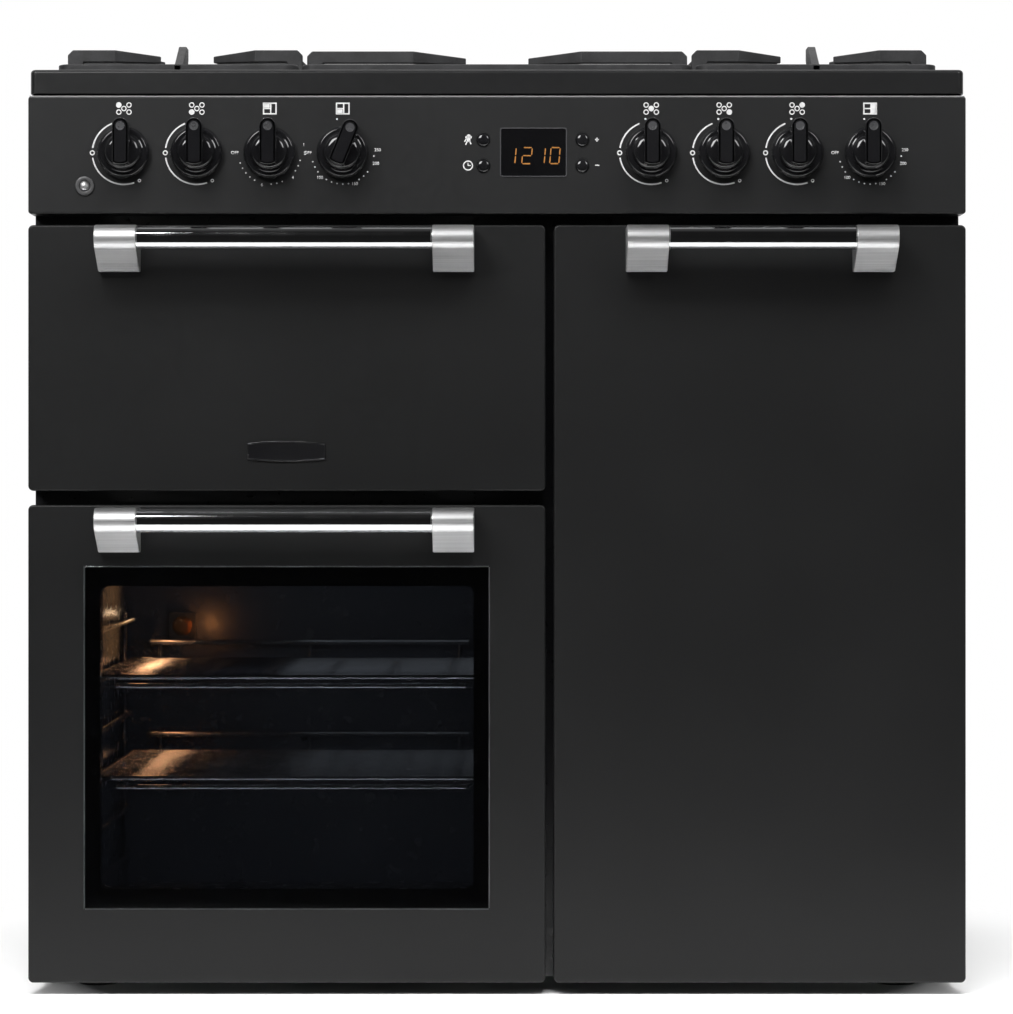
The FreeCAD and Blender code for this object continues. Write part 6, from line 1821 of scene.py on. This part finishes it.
@dataclass
class PanSupport:
    """A cast-iron pan support: ring, feet, kinked fingers and ribs.

    Attributes:
        name: Name of the CAD node and of the body.
        left: Left side of the ring.
        right: Right side of the ring.
        front: Front of the ring.
        rear: Back of the ring.
        bar: Thickness of the ring's bars.
        width: Width of a finger.
        low: Lower side of the ring.
        level: Lower side of a finger.
        top: Level that a pan stands on.
        seat: Level of the feet.
        tip_rise: How far a tip's lower side rises.
        tip_fall: How far a tip's upper side falls.
        pieces: Cast parts that wait to be joined.
    """

    name: str
    left: float
    right: float
    front: float = -224.75
    rear: float = 275.25
    bar: float = 10
    width: float = 8
    low: float = 889.5
    level: float = 911.5
    top: float = PAN_LEVEL
    seat: float = BASIN + 0.3
    tip_rise: float = 1.75
    tip_fall: float = 3.5
    pieces: list[Item] = field(default_factory=list)

    def keep(self, work: Work, round_by: float = 1.1) -> None:
        """Rounds the edges of a cast part and keeps it."""
        work.sharp_edges(angle=35).bevel(round_by, 3)
        self.pieces.append(work.rest(40))

    def ring(self) -> None:
        """Models the rounded ring and its four feet."""
        corners = [(self.left, self.front, self.low), (self.right, self.front, self.low),
                   (self.right, self.rear, self.low), (self.left, self.rear, self.low)]
        work = Work.plate("ring", corners)
        work.bevel(13, 8, points=True)
        work.faces(lambda at, way: True).inset(self.bar)
        middle = ((self.left + self.right) / 2, (self.front + self.rear) / 2)
        work.faces(lambda at, way: abs(at.x - middle[0]) < 1 and abs(at.y - middle[1]) < 1)
        bpy.ops.mesh.delete(type="FACE")
        work.all().extrude(z=self.bar).close()
        self.keep(work, 1.4)
        for x in (self.left + 8, self.right - 8):
            for y in (self.front + 8, self.rear - 8):
                work = Work.rod("foot", Axis.Z, 4, (x, y, self.seat), self.low - self.seat + 1, 24)
                self.keep(work, 0.7)

    def side_view(self, outline: Sequence[Pair], row: float) -> None:
        """Keeps a finger's part whose outline is given in X and Z."""
        work = Work.plate("finger", [(x, row - self.width / 2, z) for x, z in outline])
        work.extrude(y=self.width).close()
        self.keep(work)

    def riser(self, side: int, row: float, end: Sequence[Pair]) -> None:
        """Models a riser on the ring with its straight blade.

        Args:
            side: 1 for a blade from the left side, -1 from the right.
            row: Middle of the blade in Y.
            end: Outline of the blade's end in X and Z, from below.
        """
        wall = self.left if side > 0 else self.right
        self.side_view([(wall, self.low), (wall + side * self.bar, self.low),
                        (wall + side * 16, self.level), *end,
                        (wall + side * 5, self.top), (wall, self.top - 5)], row)

    def finger(self, axis: float, row: float, bend: float, tip: float, side: int,
               angle: float) -> None:
        """Models a riser with a straight blade and a kinked tip that falls.

        Args:
            axis: Middle of the burner in X.
            row: Middle of the blade in Y.
            bend: Distance of the kink from the burner's axis.
            tip: Distance of the tip from the burner's axis, in X.
            side: 1 for a finger from the left side, -1 from the right.
            angle: Turn of the tip, in degrees, positive to the back.
        """
        kink = axis - side * bend
        self.riser(side, row, [(kink, self.level), (kink, self.top)])
        work = Work.rod("knuckle", Axis.Z, self.width / 2, (kink, row, self.level),
                        self.top - self.level, 24)
        self.keep(work)
        run = (bend - tip) / math.cos(math.radians(angle))
        outline = [(kink, self.level), (kink + side * run, self.level + self.tip_rise),
                   (kink + side * run, self.top - self.tip_fall), (kink, self.top)]
        work = Work.plate("tip", [(x, row - self.width / 2, z) for x, z in outline])
        work.extrude(y=self.width).close()
        work.all().turn(side * angle, Axis.Z, (kink, row, self.level))
        self.keep(work)

    def rib(self, x: float, behind: bool) -> None:
        """Models the straight rib from the front or the back bar."""
        end, way = (self.rear, -1) if behind else (self.front, 1)
        outline = [(0, self.low), (56, self.low), (80, self.level), (80, self.top),
                   (60, self.top), (self.bar, self.low + self.bar), (0, self.low + self.bar)]
        work = Work.plate("rib", [(x - self.width / 2, end + way * y, z) for y, z in outline])
        work.extrude(x=self.width).close()
        self.keep(work)

    def finish(self) -> None:
        """Joins the parts to one casting."""
        casting = join(f"{self.name}_casting", self.pieces)
        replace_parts(settle(casting, IRON, self.name), self.name)
        self.pieces = []


@dataclass
class Hob:
    """The burners and the three pan supports.

    Attributes:
        burners: Every burner.
        middle: Middle of the hob in Y.
        row: Middle of the front burners in Y.
    """

    burners: list[Burner] = field(default_factory=lambda: [
        Burner(-311, 140.25, 42, 36), Burner(-311, -89.75, 32, 28), Burner(0, 25.25, 60, 52),
        Burner(311, -89.75, 22, 20), Burner(311, 140.25, 32, 28)])
    middle: float = 25.25
    row: float = -89.75

    def build(self) -> None:
        """Models and dresses the hob."""
        crowns = join("cast_burner_crowns", [burner.crown() for burner in self.burners])
        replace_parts(settle(crowns, CROWN, "cooker"), "burner_crowns")
        caps = join("enamelled_burner_caps", [burner.cap() for burner in self.burners])
        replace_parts(settle(caps, CAP, "cooker"), "burner_caps")
        self.side_support("left_pan_support", -428, -194, -311)
        self.side_support("right_pan_support", 194, 428, 311)
        self.centre_support()

    def side_support(self, name: str, left: float, right: float, axis: float) -> None:
        """Models a support over a front and a rear burner.

        Args:
            name: Name of the CAD node and of the body.
            left: Left side of the ring.
            right: Right side of the ring.
            axis: Middle of both burners in X.
        """
        support = PanSupport(name, left, right)
        support.ring()
        for row in (self.row, 2 * self.middle - self.row):
            for way in (-1, 1):
                for side in (-1, 1):
                    support.finger(axis, row + way * 45, 71, 28, side, -way * 30)
        support.rib(axis, False)
        support.rib(axis, True)
        support.finish()
        LOG.info("%s is done", name)

    def centre_support(self) -> None:
        """Models the support over the wok burner."""
        bend, tip = 85, 33
        support = PanSupport("centre_pan_support", -190, 190)
        support.ring()
        for way in (-1, 1):
            for side in (-1, 1):
                support.finger(0, self.middle + way * 150, bend, tip, side, -way * 30)
        for side in (-1, 1):
            support.riser(side, self.middle, [
                (-side * tip, support.level + support.tip_rise),
                (-side * tip, support.top - support.tip_fall), (-side * bend, support.top)])
        support.finish()
        LOG.info("centre_pan_support is done")


# ------------------------------ interior


@dataclass
class OvenLamp:
    """A lamp on an oven's back wall: case, glass lens and the light it throws.

    Attributes:
        label: Name of the oven.
        x: Middle in X.
        z: Middle in Z.
        lit: Whether it is on.
        back: Plane of the back wall.
        half: Half the width of the case.
    """

    label: str
    x: float
    z: float
    lit: bool
    back: float = 189.75
    half: float = 14

    def build(self) -> list[Item]:
        """Models the case and the lens.

        Returns:
            The case, in object mode and still without a finish.
        """
        front = self.back - 12
        work = Work.box(f"{self.label}_lamp_case", (self.x - self.half, front, self.z - self.half),
                        (self.x + self.half, self.back - 0.05, self.z + self.half))
        work.edges(lambda at, way: abs(way.y) > 0.9).bevel(3, 4)
        work.sharp_edges(lambda at, way: at.y < front + 0.2).bevel(0.8, 2)
        case = work.rest(30)
        steps = [(0, -6), (4, -5.8), (6.6, -5.1), (7.7, -4.2), (10.2, -1.2), (10.9, 0.1),
                 (0, 0.1)]
        work = Work.line(f"{self.label}_lamp_lens",
                         [(self.x + r, front + y, self.z) for r, y in steps])
        work.spin(Axis.Y, (self.x, 0, self.z), 48)
        work.done(LAMP if self.lit else LENS, "cooker", "window_glass", smooth=50)
        return case


@dataclass
class ShelfWires:
    """The close wires that run from side to side over a shelf.

    Attributes:
        body: Name of the shelf's body.
        middle: Middle of the shelf in X.
        half: Distance from the middle to a side rail.
        depth: Distance from the front rail to the rear one.
        level: Middle of the side rails in Z.
        front: Middle of the front rail in Y.
        radius: Radius of a wire.
        pitch: Distance between the wires.
    """

    body: str
    middle: float
    half: float
    depth: float
    level: float
    front: float = -202.75
    radius: float = 1.2
    pitch: float = 12

    def build(self) -> None:
        """Models one wire and copies it over the whole shelf."""
        left = self.middle - self.half
        work = Work.rod("cross_wire", Axis.X, self.radius, (left, self.front, self.level + 1.6),
                        2 * self.half, 10)
        work.rest(60)
        count = round(self.depth / self.pitch)
        wires = [copy(work.item, f"cross_wire_{number}", y=self.depth * number / count)
                 for number in range(1, count)]
        bpy.data.objects.remove(work.item)
        settle(join(f"{self.body}_cross_wires", wires), WIRE, self.body)
        LOG.info("%s has %d cross wires", self.body, count - 1)


@dataclass
class Interior:
    """The lit main oven and what stands in the compartments.

    Attributes:
        lamps: The oven lamps.
        shelves: The cross wires of the shelves.
        glow: Lamps that light the main oven: four warm ones round its lamp, and two cool
            ones at the opening and the ceiling.
    """

    lamps: list[OvenLamp] = field(default_factory=lambda: [
        OvenLamp("main", -341.25, 338, True), OvenLamp("tall", 156.75, 601, False)])
    shelves: list[ShelfWires] = field(default_factory=lambda: [
        ShelfWires("lower_shelf", LEFT_MIDDLE, 191, 360, 203),
        ShelfWires("upper_shelf", LEFT_MIDDLE, 191, 360, 302),
        ShelfWires("tall_oven_shelf", TALL_MIDDLE, 147, 330, 401)])
    glow: list[Softbox] = field(default_factory=lambda: [
        Softbox("ceiling_glow", (-368, 20, 441), (-368, 20, 200), 14, 220, 0.17,
                (1.0, 0.47, 0.21)),
        Softbox("rack_glow", (-380, 178, 346), (-388, -240, 335), 10, 120, 0.0055,
                (1.0, 0.48, 0.18)),
        Softbox("rung_glint", (-379, 178, 352), (-388, -240, 335), 5, 5, 0.003,
                (1.0, 0.66, 0.38)),
        Softbox("lamp_glow", (-312, 168, 341), (-312, 190, 340), 10, 10, 0.12,
                (1.0, 0.34, 0.08), mirrored=False),
        Softbox("back_fill", (-201, -225, 250), (-201, 190, 240), 340, 300, 3.3,
                (0.94, 0.97, 1.0), mirrored=False),
        Softbox("shelf_sheen", (-170, 0, 442), (-190, 0, 100), 400, 330, 0.06,
                (0.9, 0.95, 1.0)),
    ])

    def build(self) -> None:
        """Models the lamps and lights the main oven."""
        cases = join("oven_lamp_cases", [lamp.build() for lamp in self.lamps])
        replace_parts(settle(cases, LAMP_CASE, "cooker"), "oven_lamps")
        for shelf in self.shelves:
            shelf.build()
        for lamp in self.glow:
            lamp.build()
            LOG.info("%s is lit", lamp.name)


# ------------------------------ rear and feet


@dataclass
class Screw:
    """A pan-head screw with a cross recess, modelled once and copied.

    Attributes:
        radius: Radius of the head.
        tall: Height of the head.
    """

    radius: float = 3.6
    tall: float = 1.6

    def model(self) -> Item:
        """Models the head at the origin, facing up.

        Returns:
            The head, in object mode.
        """
        steps = [(0, 0), (self.radius, 0), (self.radius, 0.5), (self.radius - 0.5, 1.1),
                 (self.radius - 1.4, 1.5), (0, self.tall)]
        work = Work.line("screw_head", [(r, 0, z) for r, z in steps])
        work.spin(Axis.Z, (0, 0, 0), 24)
        head = work.rest(35)
        for width, depth in ((3.4, 0.8), (0.8, 3.4)):
            slot = Work.box("recess", (-width / 2, -depth / 2, self.tall - 0.8),
                            (width / 2, depth / 2, self.tall + 1))
            modify(head, "BOOLEAN", object=slot.rest(), operation="DIFFERENCE", solver="EXACT")
            bpy.data.objects.remove(slot.item)
        return head

    def row(self, name: str, spots: Iterable[Point]) -> None:
        """Copies the head to several places, facing the back, and joins the copies.

        Args:
            name: Name of the joined heads.
            spots: The place of each head, on the sheet.
        """
        head = self.model()
        turn = Vector((0, 0, 1)).rotation_difference(Axis.Y.way).to_matrix().to_4x4()
        heads = []
        for number, spot in enumerate(spots):
            twin = copy(head, f"{name}_{number}")
            twin.data.transform(Matrix.Translation(metres(spot)) @ turn)
            heads.append(twin)
        bpy.data.objects.remove(head)
        settle(join(name, heads), GALVANISED, "cooker")


@dataclass
class Foot:
    """A levelling foot: rubber pad and steel stud.

    Attributes:
        spots: Middle of each foot in X and Y.
    """

    spots: tuple[Pair, ...] = ((-392, -183.75), (392, -183.75),
                                              (-392, 250.25), (392, 250.25))

    def build(self) -> None:
        """Models one foot of each kind of part and copies it."""
        x, y = self.spots[0]
        pad = Work.line("pad", [(x + r, y, z) for r, z in (
            (0, 0.0), (18.6, 0.0), (19.7, 0.6), (20, 1.6), (20, 3.0), (19.2, 4.6),
            (13.5, 8.2), (12, 8.9), (9, 9.0), (0, 9.0))])
        pad.spin(Axis.Z, (x, y, 0), 48).rest(30)
        stud = Work.line("stud", [(x + r, y, z) for r, z in (
            (0, 8.9), (7.9, 8.9), (7.9, 11.0), (3.9, 11.4), (3.9, 47.6), (3.4, 48), (0, 48))])
        stud.spin(Axis.Z, (x, y, 0), 32).rest(30)
        for work, name, finish, slot in ((pad, "rubber_foot_pads", RUBBER, "gloss_black"),
                                         (stud, "steel_foot_studs", GALVANISED, "grey_steel")):
            pieces = [copy(work.item, f"{name}_{number}", px - x, py - y)
                      for number, (px, py) in enumerate(self.spots)]
            bpy.data.objects.remove(work.item)
            item = settle(join(name, pieces), finish, "cooker")
            if finish is RUBBER:
                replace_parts(item, "levelling_feet")


@dataclass
class Rear:
    """The sheet-metal screws of the back, and the feet.

    Attributes:
        screw: The pattern of the screws.
        foot: The feet.
        back: Plane of the back sheet's outer face.
    """

    screw: Screw = field(default_factory=Screw)
    foot: Foot = field(default_factory=Foot)
    back: float = BACK_SHEET

    def build(self) -> None:
        """Models the screws and the feet."""
        spots = [(x, self.back, z) for x in (-430, 430) for z in (70, 260, 450, 640, 830)]
        spots += [(x, self.back, z) for x in (-210, 0, 210) for z in (44, 852)]
        self.screw.row("back_sheet_screws", spots)
        self.foot.build()


# ------------------------------ main


def main() -> None:
    """Builds the studio, then every sub-assembly in order."""
    logging.basicConfig(level=logging.INFO, format="%(name)s: %(message)s")
    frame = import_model()
    dress_cad_nodes(frame["nodes"])
    Studio().build()
    for part in (Doors(), ControlPanel(), Hob(), Interior(), Rear()):
        part.build()
    clear_bench()
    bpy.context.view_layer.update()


if __name__ == "__main__":
    main()
